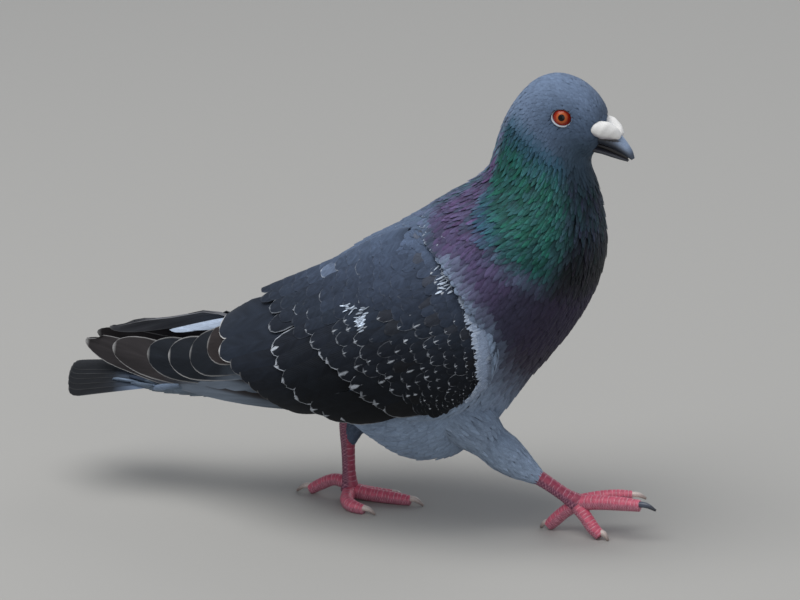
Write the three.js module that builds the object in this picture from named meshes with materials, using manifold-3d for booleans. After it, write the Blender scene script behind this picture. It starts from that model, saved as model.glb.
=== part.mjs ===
// A feral rock pigeon (Columba livia domestica), life size, in mid step.
//
// Millimetres. +X is forwards, +Y is the bird's left, +Z is up, and the floor is at z = 0.
// Places are written from a point on the floor under the left foot, and the last lines move the
// whole bird so that its origin is the middle of its bounding box, on the floor.

import * as THREE from "three";
import { ParametricGeometry } from "three/addons/geometries/ParametricGeometry.js";
import { mergeVertices } from "three/addons/utils/BufferGeometryUtils.js";
import Module from "manifold-3d";

const wasm = await Module();
wasm.setup();

// ---------------------------------------------------------------- driving dimensions

const FAR = 300; // past the bird on every side
const GAP = 0.3; // between two pieces that touch
const PLANE_GAP = GAP / 2; // what each side of a flat parting cut gives up
const FEATHER_THICKNESS = 1.3; // of the free edges of the wings and tail

const BODY_FULLNESS = 0.94; // 1 is an ellipse, less is squarer

// How finely each form is faceted: rings along it and sides round it.
const BODY_SIDES = 20;
const HEAD_ROWS = 12;
const NECK_ROWS = 9;
const TRUNK_ROWS = 18;
const RUMP_ROWS = 9;
const WING_MESH = [16, 14];
const PRIMARY_MESH = [11, 10];
const TAIL_MESH = [7, 32];
const UPPER_BILL_MESH = [9, 12];
const LOWER_BILL_MESH = [8, 10];
const CERE_MESH = [12, 7];
const EYE_MESH = [10, 7];
const THIGH_MESH = [8, 12];
const TARSUS_MESH = [8, 10];
const TOE_MESH = [6, 8];
const CLAW_MESH = [3, 6];

// The trunk, neck and head are one form, given by rungs from the back line to the belly line:
// [back x, back z, belly x, belly z, half-width, where along the rung it is widest].
const RUNGS = [
  [129.0, 199.5, 127.0, 188.5, 5.5, 0.5],
  [127.0, 205.5, 124.8, 184.0, 9.5, 0.5],
  [121.5, 212.0, 122.8, 181.5, 12.0, 0.5],
  [113.5, 216.6, 121.7, 180.0, 13.3, 0.48],
  [104.0, 218.0, 121.2, 178.6, 13.9, 0.47],
  [95.0, 214.8, 121.0, 177.0, 14.3, 0.48],
  [87.5, 207.5, 121.2, 175.0, 15.0, 0.49],
  [82.0, 199.0, 122.0, 172.0, 16.2, 0.5],
  [78.2, 190.5, 123.7, 167.5, 18.2, 0.52],
  [75.6, 181.5, 125.2, 161.0, 21.5, 0.54],
  [73.0, 173.0, 126.6, 152.5, 26.0, 0.55],
  [67.0, 166.5, 127.5, 143.0, 31.5, 0.56],
  [58.5, 161.0, 127.3, 133.0, 36.5, 0.56],
  [49.0, 155.0, 124.8, 122.0, 40.5, 0.55],
  [39.5, 148.3, 120.0, 109.5, 43.0, 0.55],
  [30.0, 142.2, 112.0, 96.0, 44.5, 0.54],
  [20.5, 136.6, 102.0, 82.5, 45.0, 0.53],
  [11.0, 131.0, 90.5, 68.5, 44.7, 0.52],
  [1.5, 124.5, 78.5, 52.0, 43.0, 0.5],
  [-8.0, 117.5, 65.0, 36.5, 41.0, 0.48],
  [-18.0, 111.5, 50.0, 28.5, 38.5, 0.47],
  [-28.0, 105.5, 34.0, 28.5, 35.5, 0.46],
  [-38.0, 98.5, 17.0, 38.0, 33.0, 0.46],
  [-50.0, 90.0, -4.0, 46.5, 30.0, 0.46],
  [-62.0, 81.5, -24.0, 49.0, 27.5, 0.48],
  [-74.0, 73.5, -46.0, 49.0, 25.0, 0.5],
  [-86.0, 66.5, -68.0, 48.2, 23.0, 0.5],
  [-96.0, 62.5, -86.0, 48.4, 21.5, 0.5],
  [-106.0, 60.6, -101.0, 50.5, 18.0, 0.5],
];
const HEAD_END = 6.8; // parting cuts, in rungs from the face
const NECK_END = 12.3;
const TRUNK_END = 23.3;

// The folded left wing's outer face at stations along the bird:
// [x, top y, top z, middle y, middle z, bottom y, bottom z, thickness].
const WING_STATIONS = [
  [87.6, 43.0, 95.0, 43.5, 91.5, 43.0, 88.0, 2.0],
  [85.5, 40.5, 103.5, 46.0, 93.0, 44.5, 82.0, 4.0],
  [80.0, 37.5, 115.5, 49.0, 95.0, 46.0, 75.0, 6.0],
  [72.0, 34.0, 127.5, 51.5, 97.0, 46.5, 68.0, 7.0],
  [60.0, 29.0, 139.5, 53.0, 99.0, 46.5, 61.5, 7.5],
  [44.0, 22.0, 145.0, 53.5, 98.0, 45.5, 57.0, 7.5],
  [24.0, 17.0, 136.5, 53.0, 93.0, 44.0, 54.5, 7.0],
  [4.0, 13.0, 124.5, 50.5, 86.5, 42.0, 53.5, 6.5],
  [-14.0, 10.5, 114.5, 46.5, 81.5, 39.5, 53.0, 5.0],
  [-30.0, 8.5, 105.0, 41.5, 78.0, 36.0, 52.5, 3.4],
  [-44.0, 7.0, 96.5, 36.0, 75.0, 33.0, 52.5, 2.4],
  [-58.0, 5.5, 87.0, 30.0, 72.0, 30.0, 53.0, 1.8],
];
const PRIMARY_STATIONS = [
  [4.0, 33.0, 88.0, 37.0, 72.0, 35.5, 55.0, 2.6],
  [-14.0, 28.0, 88.0, 35.5, 71.0, 34.5, 52.5, 2.6],
  [-34.0, 20.0, 88.0, 31.0, 70.0, 31.5, 50.5, 2.4],
  [-54.0, 14.0, 86.0, 25.5, 69.0, 27.5, 51.0, 2.2],
  [-72.0, 11.5, 83.2, 20.0, 69.0, 23.0, 54.5, 2.0],
  [-88.0, 9.5, 79.6, 15.0, 69.0, 18.5, 58.5, 1.8],
  [-104.0, 8.4, 76.0, 11.5, 69.3, 14.0, 62.5, 1.6],
  [-117.0, 8.2, 73.2, 9.4, 70.2, 10.5, 67.0, 1.4],
  [-126.0, 8.2, 71.6, 8.4, 70.6, 8.7, 69.6, 1.2],
];

// Side views, as [x, z]: the tips of the greater coverts, of the secondaries and tertials, and the
// steps of the primaries' tips.
const COVERT_TIPS = [
  [-30, 122], [-27, 111], [-22, 101], [-19, 91], [-16, 81], [-11, 71], [-5, 62], [4, 56], [14, 50],
];
const SECONDARY_TIPS = [
  [-56, 112], [-53, 99], [-51, 90], [-47, 82], [-41, 75], [-34, 68], [-27, 61], [-19, 55], [-9, 49],
];
const PRIMARY_TIPS = [[-58, 92], [-68, 83.6], [-78, 81.2], [-88, 79], [-99, 76.6], [-111, 74], [-126, 70.8]];
const TIP_BULGE = 2.2; // how far each tip stands out of the line of the notches
const PRIMARY_HOLLOW = 1.1; // how far the edge between two primary tips is let in
const WING_CUT_REACH = 14; // how far out of the wing its cutter clears the body

// The folded tail: [x, middle z, half-width, thickness, droop of the sides].
const TAIL_STATIONS = [
  [-62, 57.5, 16.0, 6.0, 4.0],
  [-80, 57.5, 19.0, 6.0, 5.0],
  [-100, 56.8, 22.0, 5.6, 6.2],
  [-118, 55.8, 24.5, 5.0, 7.6],
  [-133, 54.6, 26.0, 4.2, 8.8],
];
const TAIL_END_ROUND = 7.0; // how much shorter the outer tail feathers are
const TAIL_TIPS = 5; // scallops across the end
const TAIL_TIP_DEPTH = 1.8;

// The bill, as rungs like the body's.
const UPPER_BILL = [
  [118.0, 196.0, 117.0, 188.0, 5.2, 0.55],
  [125.5, 197.6, 123.5, 187.2, 5.4, 0.55],
  [131.2, 195.6, 128.0, 186.5, 4.8, 0.55],
  [135.6, 192.2, 132.2, 185.2, 3.9, 0.55],
  [139.0, 188.4, 135.8, 183.6, 3.0, 0.55],
  [141.4, 184.8, 138.8, 182.0, 2.1, 0.5],
  [142.6, 181.4, 141.2, 180.4, 0.8, 0.5],
];
const LOWER_BILL = [
  [118.0, 187.5, 117.0, 184.0, 4.6, 0.5],
  [123.5, 186.4, 122.0, 183.0, 4.4, 0.5],
  [128.5, 185.0, 127.5, 182.2, 3.6, 0.5],
  [133.5, 183.2, 132.6, 180.9, 2.7, 0.5],
  [137.3, 181.8, 136.6, 180.0, 1.9, 0.5],
  [139.9, 180.4, 139.4, 179.4, 0.8, 0.5],
];
const CERE = { x: 128.8, y: 3.9, z: 194.9, length: 14.5, width: 6.4, height: 7.4, pitch: 17, yaw: -14 };

const EYE = { x: 111.0, y: 8.5, z: 200.0, radius: 5.6 };

// Limbs: [x, y, z, radius] along the middle line.
const LIMB_END_WIDTH = 0.62; // width of the blunt end of a limb, in radii
const LIMB_END_REACH = 0.55; // how far that end stands past the middle line's end, in radii
const LEFT_LEG = {
  thigh: [[34, 16, 62, 18], [22, 13, 53, 14], [11, 11, 44, 9.5], [3, 9.5, 36.5, 5.6], [0.5, 9, 30, 3.6]],
  tarsus: [
    [-0.5, 9.5, 43, 4.0], [-1, 9, 36, 4.0], [-0.6, 8.6, 24, 3.3], [0, 8.2, 12.5, 3.3], [0.6, 8, 4.6, 4.6],
  ],
  toes: {
    middle: [[2, 8, 4.4, 3.6], [12, 8, 3.4, 3.3], [23, 8.6, 2.7, 3.0], [30.5, 9, 2.2, 2.5]],
    inner: [[1, 6, 4.2, 3.4], [3, -3, 3.0, 3.2], [8, -9.5, 2.8, 3.1], [14.5, -11.4, 2.1, 2.4]],
    outer: [[2, 10, 4.2, 3.3], [9, 12.8, 3.0, 2.9], [18.5, 16, 2.0, 2.3]],
    hind: [[-1, 8.6, 8, 3.4], [-8, 10, 8.2, 2.9], [-14, 10.8, 5.6, 2.9], [-20.5, 11, 1.8, 2.6]],
  },
  claws: {
    middle: [[28.5, 8.9, 3.2, 1.5], [33, 9.1, 3.0, 1.3], [37, 9.2, 0.4, 0.55]],
    inner: [[12.5, -11, 3.0, 1.5], [17, -11.8, 2.8, 1.2], [20.5, -11.6, 0.4, 0.55]],
    outer: [[17, 15.6, 2.8, 1.4], [21, 17, 2.6, 1.2], [24.5, 18, 0.4, 0.55]],
    hind: [[-18.5, 11, 3.6, 1.5], [-23.5, 11, 3.2, 1.3], [-27.5, 11, 0.4, 0.55]],
  },
};
const RIGHT_LEG = {
  thigh: [
    [58, -17, 60, 18], [71, -15, 50, 12.5], [78, -13.5, 43, 9.2], [84.5, -12, 37.6, 9.0],
    [90.5, -10, 32.6, 7.4], [97, -8.4, 28.0, 4.8],
  ],
  tarsus: [
    [87, -9.4, 34, 4.0], [92.5, -8.6, 30.5, 4.0], [104, -7.2, 23.8, 3.4], [112, -6, 18.6, 3.4],
    [118, -5, 15.0, 4.4],
  ],
  toes: {
    middle: [[119, -5, 15.0, 3.7], [128, -5.5, 16.4, 3.5], [139, -6.2, 17.2, 3.3], [149, -6.8, 17.4, 2.8]],
    inner: [[119, -3.5, 15.4, 3.4], [127, -0.2, 17.2, 3.1], [135, 2.2, 18.2, 2.9], [142, 3.8, 18.4, 2.4]],
    outer: [[118.5, -6.0, 13.6, 3.5], [122.5, -7.4, 9.8, 3.2], [127, -8.8, 4.9, 3.1], [131, -9.8, 1.8, 2.6]],
    hind: [[116.5, -4.6, 13.4, 3.3], [111.5, -4, 9.6, 3.1], [106.5, -3.4, 4.8, 3.1], [103.6, -3, 1.8, 2.6]],
  },
  claws: {
    middle: [[147.5, -6.7, 18.0, 1.5], [152.5, -7, 18.0, 1.3], [157, -7.4, 16.2, 0.55]],
    inner: [[140.5, 3.5, 19.0, 1.4], [145, 4.2, 19.0, 1.2], [148.5, 4.8, 17.4, 0.55]],
    outer: [[129.8, -9.4, 3.6, 1.5], [133, -10.4, 3.0, 1.3], [135.2, -11.0, 0.3, 0.6]],
    hind: [[104.8, -3.2, 3.4, 1.5], [101.6, -2.8, 3.0, 1.3], [99.4, -2.6, 0.3, 0.6]],
  },
};

// ---------------------------------------------------------------- materials

const PLUMAGE = { roughness: 0.8, metalness: 0.0 };
const finish = {
  head: new THREE.MeshStandardMaterial({ color: "#5b6a80", ...PLUMAGE }),
  neck: new THREE.MeshStandardMaterial({ color: "#256a58", ...PLUMAGE }),
  trunk: new THREE.MeshStandardMaterial({ color: "#6d7b8b", ...PLUMAGE }),
  rump: new THREE.MeshStandardMaterial({ color: "#9aa4b0", ...PLUMAGE }),
  coverts: new THREE.MeshStandardMaterial({ color: "#33363f", ...PLUMAGE }),
  flight: new THREE.MeshStandardMaterial({ color: "#2b2c33", ...PLUMAGE }),
  tail: new THREE.MeshStandardMaterial({ color: "#3c424c", ...PLUMAGE }),
  thigh: new THREE.MeshStandardMaterial({ color: "#8494a8", ...PLUMAGE }),
  bill: new THREE.MeshStandardMaterial({ color: "#39424f", roughness: 0.45, metalness: 0.0 }),
  cere: new THREE.MeshStandardMaterial({ color: "#d9dde6", roughness: 0.85, metalness: 0.0 }),
  eye: new THREE.MeshStandardMaterial({ color: "#c2481c", roughness: 0.1, metalness: 0.0 }),
  scales: new THREE.MeshStandardMaterial({ color: "#b8506a", roughness: 0.6, metalness: 0.0 }),
  claw: new THREE.MeshStandardMaterial({ color: "#b9aba4", roughness: 0.5, metalness: 0.0 }),
};

// ---------------------------------------------------------------- closed shapes

const WELD = 1e-4; // corners nearer than this are one
const ON_EDGE = 1e-6; // a sine this small is on a wing's edge
const TANGENT_STEP = 0.05; // in points of a limb's line
const UPRIGHT = 0.8; // a limb steeper than this takes its sideways from +Y

/** Keeps a shape's corners alone, joined where they meet, with its faces turned outwards. */
function closed(geometry) {
  geometry.deleteAttribute("normal");
  geometry.deleteAttribute("uv");
  const merged = mergeVertices(geometry, WELD);
  const corners = merged.index.array;
  const place = merged.attributes.position;
  const [a, b, c] = [new THREE.Vector3(), new THREE.Vector3(), new THREE.Vector3()];
  const kept = [];
  let volume = 0;
  for (let i = 0; i < corners.length; i += 3) {
    const [p, q, r] = corners.slice(i, i + 3);
    if (p === q || q === r || r === p) continue;
    kept.push(p, q, r);
    a.fromBufferAttribute(place, p);
    b.fromBufferAttribute(place, q);
    c.fromBufferAttribute(place, r);
    volume += a.dot(b.cross(c));
  }
  if (volume < 0) kept.reverse();
  const result = new THREE.BufferGeometry();
  result.setAttribute("position", place);
  result.setIndex(kept);
  return result;
}

/** A closed skin over rings: pointOn(row, angle) for rows 0 to rows, each end closed at its middle. */
function loft(rows, sides, pointOn) {
  const middle = (row, target) => {
    target.set(0, 0, 0);
    for (let side = 0; side < sides; side++) {
      target.add(pointOn(row, (side / sides) * 2 * Math.PI));
    }
    target.divideScalar(sides);
  };
  const skin = (u, v, target) => {
    const step = Math.round(v * (rows + 2)) - 1;
    if (step < 0 || step > rows) {
      middle(step < 0 ? 0 : rows, target);
    } else {
      target.copy(pointOn(step, (Math.round(u * sides) % sides) * ((2 * Math.PI) / sides)));
    }
  };
  return closed(new ParametricGeometry(skin, sides, rows + 2));
}

/** A curve through columns of a table, read at a place counted in rows of the table. */
function through(table, ...columns) {
  const points = table.map((row) => new THREE.Vector3(...columns.map((c) => row[c] ?? 0)));
  const curve = new THREE.CatmullRomCurve3(points, false, "catmullrom", 0.5);
  return (at) => curve.getPoint(THREE.MathUtils.clamp(at / (table.length - 1), 0, 1));
}

/** A form given by rungs, between two places counted in rungs, its ends moved in by `inset`. */
function rungForm(rungs, from, to, rows, sides, grow = 0, inset = [0, 0]) {
  const backLine = through(rungs, 0, 1);
  const bellyLine = through(rungs, 2, 3);
  const girth = through(rungs, 4, 5);
  return loft(rows, sides, (row, angle) => {
    const at = THREE.MathUtils.lerp(from, to, row / rows);
    const [back, belly, size] = [backLine(at), bellyLine(at), girth(at)];
    const rung = new THREE.Vector3(belly.x - back.x, 0, belly.y - back.y);
    const reach = rung.length();
    rung.normalize();
    const bend = Math.log(size.y) / Math.log(0.5);
    const down = ((1 - Math.cos(angle)) / 2) ** bend * (reach + 2 * grow) - grow;
    const out = Math.sign(Math.sin(angle)) * Math.abs(Math.sin(angle)) ** BODY_FULLNESS;
    const point = new THREE.Vector3(back.x, 0, back.y).addScaledVector(rung, down);
    point.y = out * (size.x + grow);
    const along = new THREE.Vector3(-rung.z, 0, rung.x); // towards the face
    if (row === 0) point.addScaledVector(along, grow - inset[0]);
    if (row === rows) point.addScaledVector(along, inset[1] - grow);
    return point;
  });
}

/** A folded wing layer: an outer face through its stations, thinning to its top and bottom edges. */
function wingForm(stations, rows, sides, grow = 0, outward = grow) {
  const top = through(stations, 0, 1, 2);
  const middle = through(stations, 0, 3, 4);
  const bottom = through(stations, 0, 5, 6);
  const thickness = through(stations, 7);
  return loft(rows, sides, (row, angle) => {
    const at = ((stations.length - 1) * row) / rows;
    const [start, bulge, end] = [top(at), middle(at), bottom(at)];
    const pull = bulge.clone().multiplyScalar(2).sub(start.clone().add(end).multiplyScalar(0.5));
    const arc = new THREE.QuadraticBezierCurve3(start, pull, end);
    const along = (1 - Math.cos(angle)) / 2;
    const point = arc.getPoint(along);
    const slope = arc.getTangent(along);
    const outside = new THREE.Vector3(0, -slope.z, slope.y);
    if (outside.y < 0) outside.negate();
    const depth = Math.max(thickness(at).x * Math.sqrt(Math.abs(Math.sin(angle))), FEATHER_THICKNESS);
    const isEdge = Math.abs(Math.sin(angle)) < ON_EDGE;
    const inOrOut = angle > Math.PI ? -depth - grow : outward;
    point.addScaledVector(outside.normalize(), isEdge ? -FEATHER_THICKNESS / 2 : inOrOut);
    point.addScaledVector(slope, -Math.cos(angle) * grow);
    if (row === 0) point.x += grow;
    if (row === rows) point.x -= grow;
    return point;
  });
}

/** A rounded limb along a middle line, with round ends. */
function limbForm(line, rows, sides, grow = 0) {
  const middle = through(line, 0, 1, 2);
  const radius = through(line, 3);
  const last = line.length - 1;
  return loft(rows, sides, (row, angle) => {
    const share = row / rows;
    const at = last * share;
    const forward = middle(Math.min(at + TANGENT_STEP, last));
    forward.sub(middle(Math.max(at - TANGENT_STEP, 0))).normalize();
    const side = Math.abs(forward.z) > UPRIGHT ? new THREE.Vector3(0, 1, 0) : new THREE.Vector3(0, 0, 1);
    side.cross(forward).normalize();
    const up = forward.clone().cross(side);
    const end = row === 0 || row === rows ? LIMB_END_WIDTH : 1;
    const size = radius(at).x * end + grow;
    const point = middle(at);
    point.addScaledVector(side, Math.cos(angle) * size);
    point.addScaledVector(up, Math.sin(angle) * size);
    const cap = radius(at).x * LIMB_END_REACH + grow;
    if (row === 0) point.addScaledVector(forward, -cap);
    if (row === rows) point.addScaledVector(forward, cap);
    return point;
  });
}

/** The folded tail: a flat fan with drooping sides and a scalloped end. */
function tailForm(rows, sides) {
  const spine = through(TAIL_STATIONS, 0, 1, 2);
  const section = through(TAIL_STATIONS, 3, 4);
  return loft(rows, sides, (row, angle) => {
    const at = ((TAIL_STATIONS.length - 1) * row) / rows;
    const [line, shape] = [spine(at), section(at)];
    const across = Math.cos(angle);
    const free = (row / rows) ** 3;
    const scallop = Math.abs(Math.sin(across * TAIL_TIPS * Math.PI * 0.5));
    const shorter = TAIL_END_ROUND * across ** 2 + TAIL_TIP_DEPTH * (1 - scallop);
    const half = Math.sign(Math.sin(angle)) * Math.sqrt(Math.abs(Math.sin(angle))) * shape.x * 0.5;
    const edge = Math.abs(half) < FEATHER_THICKNESS / 2 ? Math.sign(half) * FEATHER_THICKNESS * 0.5 : half;
    return new THREE.Vector3(line.x + free * shorter, line.z * across, line.y + edge - shape.y * across ** 2);
  });
}

// ---------------------------------------------------------------- cutting and joining

function solid(geometry) {
  const vertProperties = Float32Array.from(geometry.attributes.position.array);
  const triVerts = Uint32Array.from(geometry.index.array);
  return new wasm.Manifold(new wasm.Mesh({ numProp: 3, vertProperties, triVerts }));
}

function geometryOf(body) {
  const { vertProperties, triVerts } = body.getMesh();
  const geometry = new THREE.BufferGeometry();
  geometry.setAttribute("position", new THREE.BufferAttribute(vertProperties, 3));
  geometry.setIndex(new THREE.BufferAttribute(triVerts, 1));
  return geometry;
}

/** What is left of a shape when the others are taken away. */
function without(shape, ...others) {
  return others.reduce((left, other) => left.subtract(other), shape);
}

/** A slab across the bird whose side view is the given outline, for cutting wing layers. */
function slab(outline) {
  const extrude = new THREE.ExtrudeGeometry(outline, { depth: FAR, bevelEnabled: false, curveSegments: 2 });
  return solid(closed(extrude.rotateX(Math.PI / 2).translate(0, FAR / 2, 0)));
}

/** Feather tips along a line of notches, each a curve bulging towards the tail. */
function addTips(outline, notches, bulge) {
  for (let i = 1; i < notches.length; i++) {
    const [x0, z0] = notches[i - 1];
    const [x1, z1] = notches[i];
    const length = Math.hypot(x1 - x0, z1 - z0);
    const [nx, nz] = [(z1 - z0) / length, -(x1 - x0) / length];
    outline.quadraticCurveTo((x0 + x1) / 2 + nx * bulge * 2, (z0 + z1) / 2 + nz * bulge * 2, x1, z1);
  }
}

/** The largest body that a cut leaves. */
function mainPiece(body) {
  return body.decompose().reduce((most, piece) => (piece.volume() > most.volume() ? piece : most));
}

const mirrored = (body) => body.mirror([0, 1, 0]);

// ---------------------------------------------------------------- the nodes

const bird = new THREE.Group();

function add(name, body, material) {
  const mesh = new THREE.Mesh(geometryOf(mainPiece(body)), material);
  mesh.name = name;
  bird.add(mesh);
}

// Everything below the floor is cut away, which gives the feet their small flats.
const floor = solid(closed(new THREE.BoxGeometry(2 * FAR, 2 * FAR, FAR).translate(0, 0, -FAR / 2)));

// Wings. Each has an outer layer of coverts and secondaries over an inner layer of primaries.
/** What lies in front of a line of feather tips, moved forwards by `gap`. */
function frontRegion(tips, gap) {
  const outline = new THREE.Shape();
  const shifted = tips.map(([x, z]) => [x + gap, z]);
  outline.moveTo(...shifted[0]);
  addTips(outline, shifted, TIP_BULGE);
  outline.lineTo(shifted.at(-1)[0], -FAR);
  outline.lineTo(FAR, -FAR);
  outline.lineTo(FAR, FAR);
  outline.lineTo(shifted[0][0], FAR);
  return slab(outline);
}

const wingOuter = solid(wingForm(WING_STATIONS, ...WING_MESH));
const wingOuterRoom = solid(wingForm(WING_STATIONS, ...WING_MESH, GAP));
const wingCut = solid(wingForm(WING_STATIONS, ...WING_MESH, GAP, WING_CUT_REACH));
const inFrontOfSecondaryTips = frontRegion(SECONDARY_TIPS, 0);
const coverts = wingOuter.intersect(frontRegion(COVERT_TIPS, 0));
const secondaries = without(wingOuter.intersect(inFrontOfSecondaryTips), frontRegion(COVERT_TIPS, -GAP));

const primaryOutline = new THREE.Shape();
primaryOutline.moveTo(...PRIMARY_TIPS[0]);
addTips(primaryOutline, PRIMARY_TIPS, -PRIMARY_HOLLOW);
primaryOutline.lineTo(-FAR, PRIMARY_TIPS.at(-1)[1]);
primaryOutline.lineTo(-FAR, -FAR);
primaryOutline.lineTo(FAR, -FAR);
primaryOutline.lineTo(FAR, PRIMARY_TIPS[0][1]);
const primaryBlade = solid(wingForm(PRIMARY_STATIONS, ...PRIMARY_MESH));
const primaryRoom = solid(wingForm(PRIMARY_STATIONS, ...PRIMARY_MESH, GAP));
const secondaryRoom = wingOuterRoom.intersect(frontRegion(SECONDARY_TIPS, -GAP));
const primaries = without(primaryBlade.intersect(slab(primaryOutline)), secondaryRoom);

for (const [side, turn] of [["left", (body) => body], ["right", mirrored]]) {
  add(`wing_${side}_coverts`, turn(coverts), finish.coverts);
  add(`wing_${side}_secondaries`, turn(secondaries), finish.flight);
  add(`wing_${side}_primaries`, turn(primaries), finish.flight);
}
const leftWingRoom = wingOuterRoom.add(wingCut).add(primaryRoom);
const wingRoom = [leftWingRoom, mirrored(leftWingRoom)];

// Head, neck, trunk and rump.
function bodyPiece(from, to, rows, grow = 0, inset = [PLANE_GAP, PLANE_GAP]) {
  return solid(rungForm(RUNGS, from, to, rows, BODY_SIDES, grow, inset));
}

const LAST_RUNG = RUNGS.length - 1;
const headRoom = bodyPiece(0, HEAD_END, HEAD_ROWS, GAP, [0, 0]);
const trunkRoom = bodyPiece(NECK_END, TRUNK_END, TRUNK_ROWS, GAP, [0, 0]);
const rumpRoom = bodyPiece(TRUNK_END, LAST_RUNG, RUMP_ROWS, GAP, [0, 0]);

function eyeball(grow) {
  const ball = new THREE.SphereGeometry(EYE.radius + grow, ...EYE_MESH);
  return solid(closed(ball.translate(EYE.x, EYE.y, EYE.z)));
}
const eye = eyeball(0);
const socket = eyeball(GAP);
add("eye_left", eye, finish.eye);
add("eye_right", mirrored(eye), finish.eye);

add("neck", without(bodyPiece(HEAD_END, NECK_END, NECK_ROWS), ...wingRoom), finish.neck);
add("trunk", without(bodyPiece(NECK_END, TRUNK_END, TRUNK_ROWS), ...wingRoom), finish.trunk);
const rump = bodyPiece(TRUNK_END, LAST_RUNG, RUMP_ROWS, 0, [PLANE_GAP, 0]);
add("rump", without(rump, ...wingRoom), finish.rump);

// Bill and cere.
const upperBill = solid(rungForm(UPPER_BILL, 0, UPPER_BILL.length - 1, ...UPPER_BILL_MESH));
const upperBillRoom = solid(rungForm(UPPER_BILL, 0, UPPER_BILL.length - 1, ...UPPER_BILL_MESH, GAP));
const lowerBill = solid(rungForm(LOWER_BILL, 0, LOWER_BILL.length - 1, ...LOWER_BILL_MESH));
add("bill_upper", without(upperBill, headRoom), finish.bill);
add("bill_lower", without(lowerBill, headRoom, upperBillRoom), finish.bill);

function cereLobe(grow) {
  const lobe = new THREE.SphereGeometry(1, ...CERE_MESH);
  lobe.scale(CERE.length / 2 + grow, CERE.width / 2 + grow, CERE.height / 2 + grow);
  lobe.rotateY(THREE.MathUtils.degToRad(CERE.pitch));
  lobe.rotateZ(THREE.MathUtils.degToRad(CERE.yaw));
  lobe.translate(CERE.x, CERE.y, CERE.z);
  return solid(closed(lobe));
}
const rightHalf = new THREE.BoxGeometry(2 * FAR, FAR, 2 * FAR).translate(0, PLANE_GAP - FAR / 2, 0);
const lobe = without(cereLobe(0), upperBillRoom, solid(closed(rightHalf)));
const lobeRoom = cereLobe(GAP);
const faceCuts = [socket, mirrored(socket), lobeRoom, mirrored(lobeRoom)];
add("head", without(bodyPiece(0, HEAD_END, HEAD_ROWS, 0, [0, PLANE_GAP]), ...faceCuts), finish.head);
add("cere_left", lobe, finish.cere);
add("cere_right", mirrored(lobe), finish.cere);

// Tail.
const tail = solid(tailForm(...TAIL_MESH));
add("tail", without(tail, rumpRoom, ...wingRoom), finish.tail);

// Legs. Each piece is cut back from those that it grows out of.
for (const [side, leg] of [["left", LEFT_LEG], ["right", RIGHT_LEG]]) {
  const thigh = solid(limbForm(leg.thigh, ...THIGH_MESH));
  add(`thigh_${side}`, without(thigh, trunkRoom), finish.thigh);
  const thighRoom = solid(limbForm(leg.thigh, ...THIGH_MESH, GAP));
  const tarsus = solid(limbForm(leg.tarsus, ...TARSUS_MESH));
  add(`tarsus_${side}`, without(tarsus, thighRoom, trunkRoom, floor), finish.scales);
  const taken = [solid(limbForm(leg.tarsus, ...TARSUS_MESH, GAP)), floor];
  for (const [name, line] of Object.entries(leg.toes)) {
    add(`toe_${name}_${side}`, without(solid(limbForm(line, ...TOE_MESH)), ...taken), finish.scales);
    const toeRoom = solid(limbForm(line, ...TOE_MESH, GAP));
    taken.push(toeRoom);
    const claw = solid(limbForm(leg.claws[name], ...CLAW_MESH));
    add(`claw_${name}_${side}`, without(claw, toeRoom, floor), finish.claw);
  }
}

// ---------------------------------------------------------------- origin

const box = new THREE.Box3().setFromObject(bird);
bird.position.set(-(box.min.x + box.max.x) / 2, -(box.min.y + box.max.y) / 2, -box.min.z);
const group = new THREE.Group();
group.add(bird);

export default group;
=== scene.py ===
"""The looks of a feral rock pigeon, a life-size still model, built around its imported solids.

+X is forwards, +Y is the bird's left, +Z is up and the floor is at z = 0. The forms below are written in
millimetres from the point on the floor under the left foot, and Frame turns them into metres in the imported
frame. One skin stands for all the flesh. Over it lie the feathers, each a thin closed vane of its own.
"""

from __future__ import annotations

import logging
import math
from dataclasses import dataclass
from enum import Enum
from typing import Callable

import bmesh
import bpy
import numpy as np
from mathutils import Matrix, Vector
from mathutils.kdtree import KDTree

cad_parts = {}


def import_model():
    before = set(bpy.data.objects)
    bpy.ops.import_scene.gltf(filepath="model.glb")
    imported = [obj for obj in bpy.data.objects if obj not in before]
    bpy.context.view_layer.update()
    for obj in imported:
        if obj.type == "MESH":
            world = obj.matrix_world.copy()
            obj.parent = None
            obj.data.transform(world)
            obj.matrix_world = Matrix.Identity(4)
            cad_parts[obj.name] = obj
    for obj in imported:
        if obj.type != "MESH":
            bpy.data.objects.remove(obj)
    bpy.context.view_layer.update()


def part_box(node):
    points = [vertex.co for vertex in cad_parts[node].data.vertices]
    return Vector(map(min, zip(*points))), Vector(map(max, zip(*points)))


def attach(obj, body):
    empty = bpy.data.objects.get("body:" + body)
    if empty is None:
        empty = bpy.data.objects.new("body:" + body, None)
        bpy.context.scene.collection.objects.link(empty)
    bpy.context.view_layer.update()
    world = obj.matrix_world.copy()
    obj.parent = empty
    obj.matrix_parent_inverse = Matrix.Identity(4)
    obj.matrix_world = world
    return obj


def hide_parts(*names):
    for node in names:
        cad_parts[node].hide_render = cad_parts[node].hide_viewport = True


LOG = logging.getLogger("pigeon")
MM = 0.001
TAU = 2 * math.pi
STEP = 1e-3  # of a form's own coordinates, for slopes
GRAIN_HEIGHT = 0.2 * MM  # of barbs, and of the grain of skin and horn
TOP_Y, TOP_Z, BOTTOM_Z = 1, 2, 6  # columns of a wing's stations
Array = np.ndarray
Field = Callable[[np.ndarray, np.ndarray], np.ndarray]  # reads something at u and v
Material, Mesh = bpy.types.Material, bpy.types.Mesh

# ------------------------------------------------------------------ measured forms, in millimetres

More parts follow.
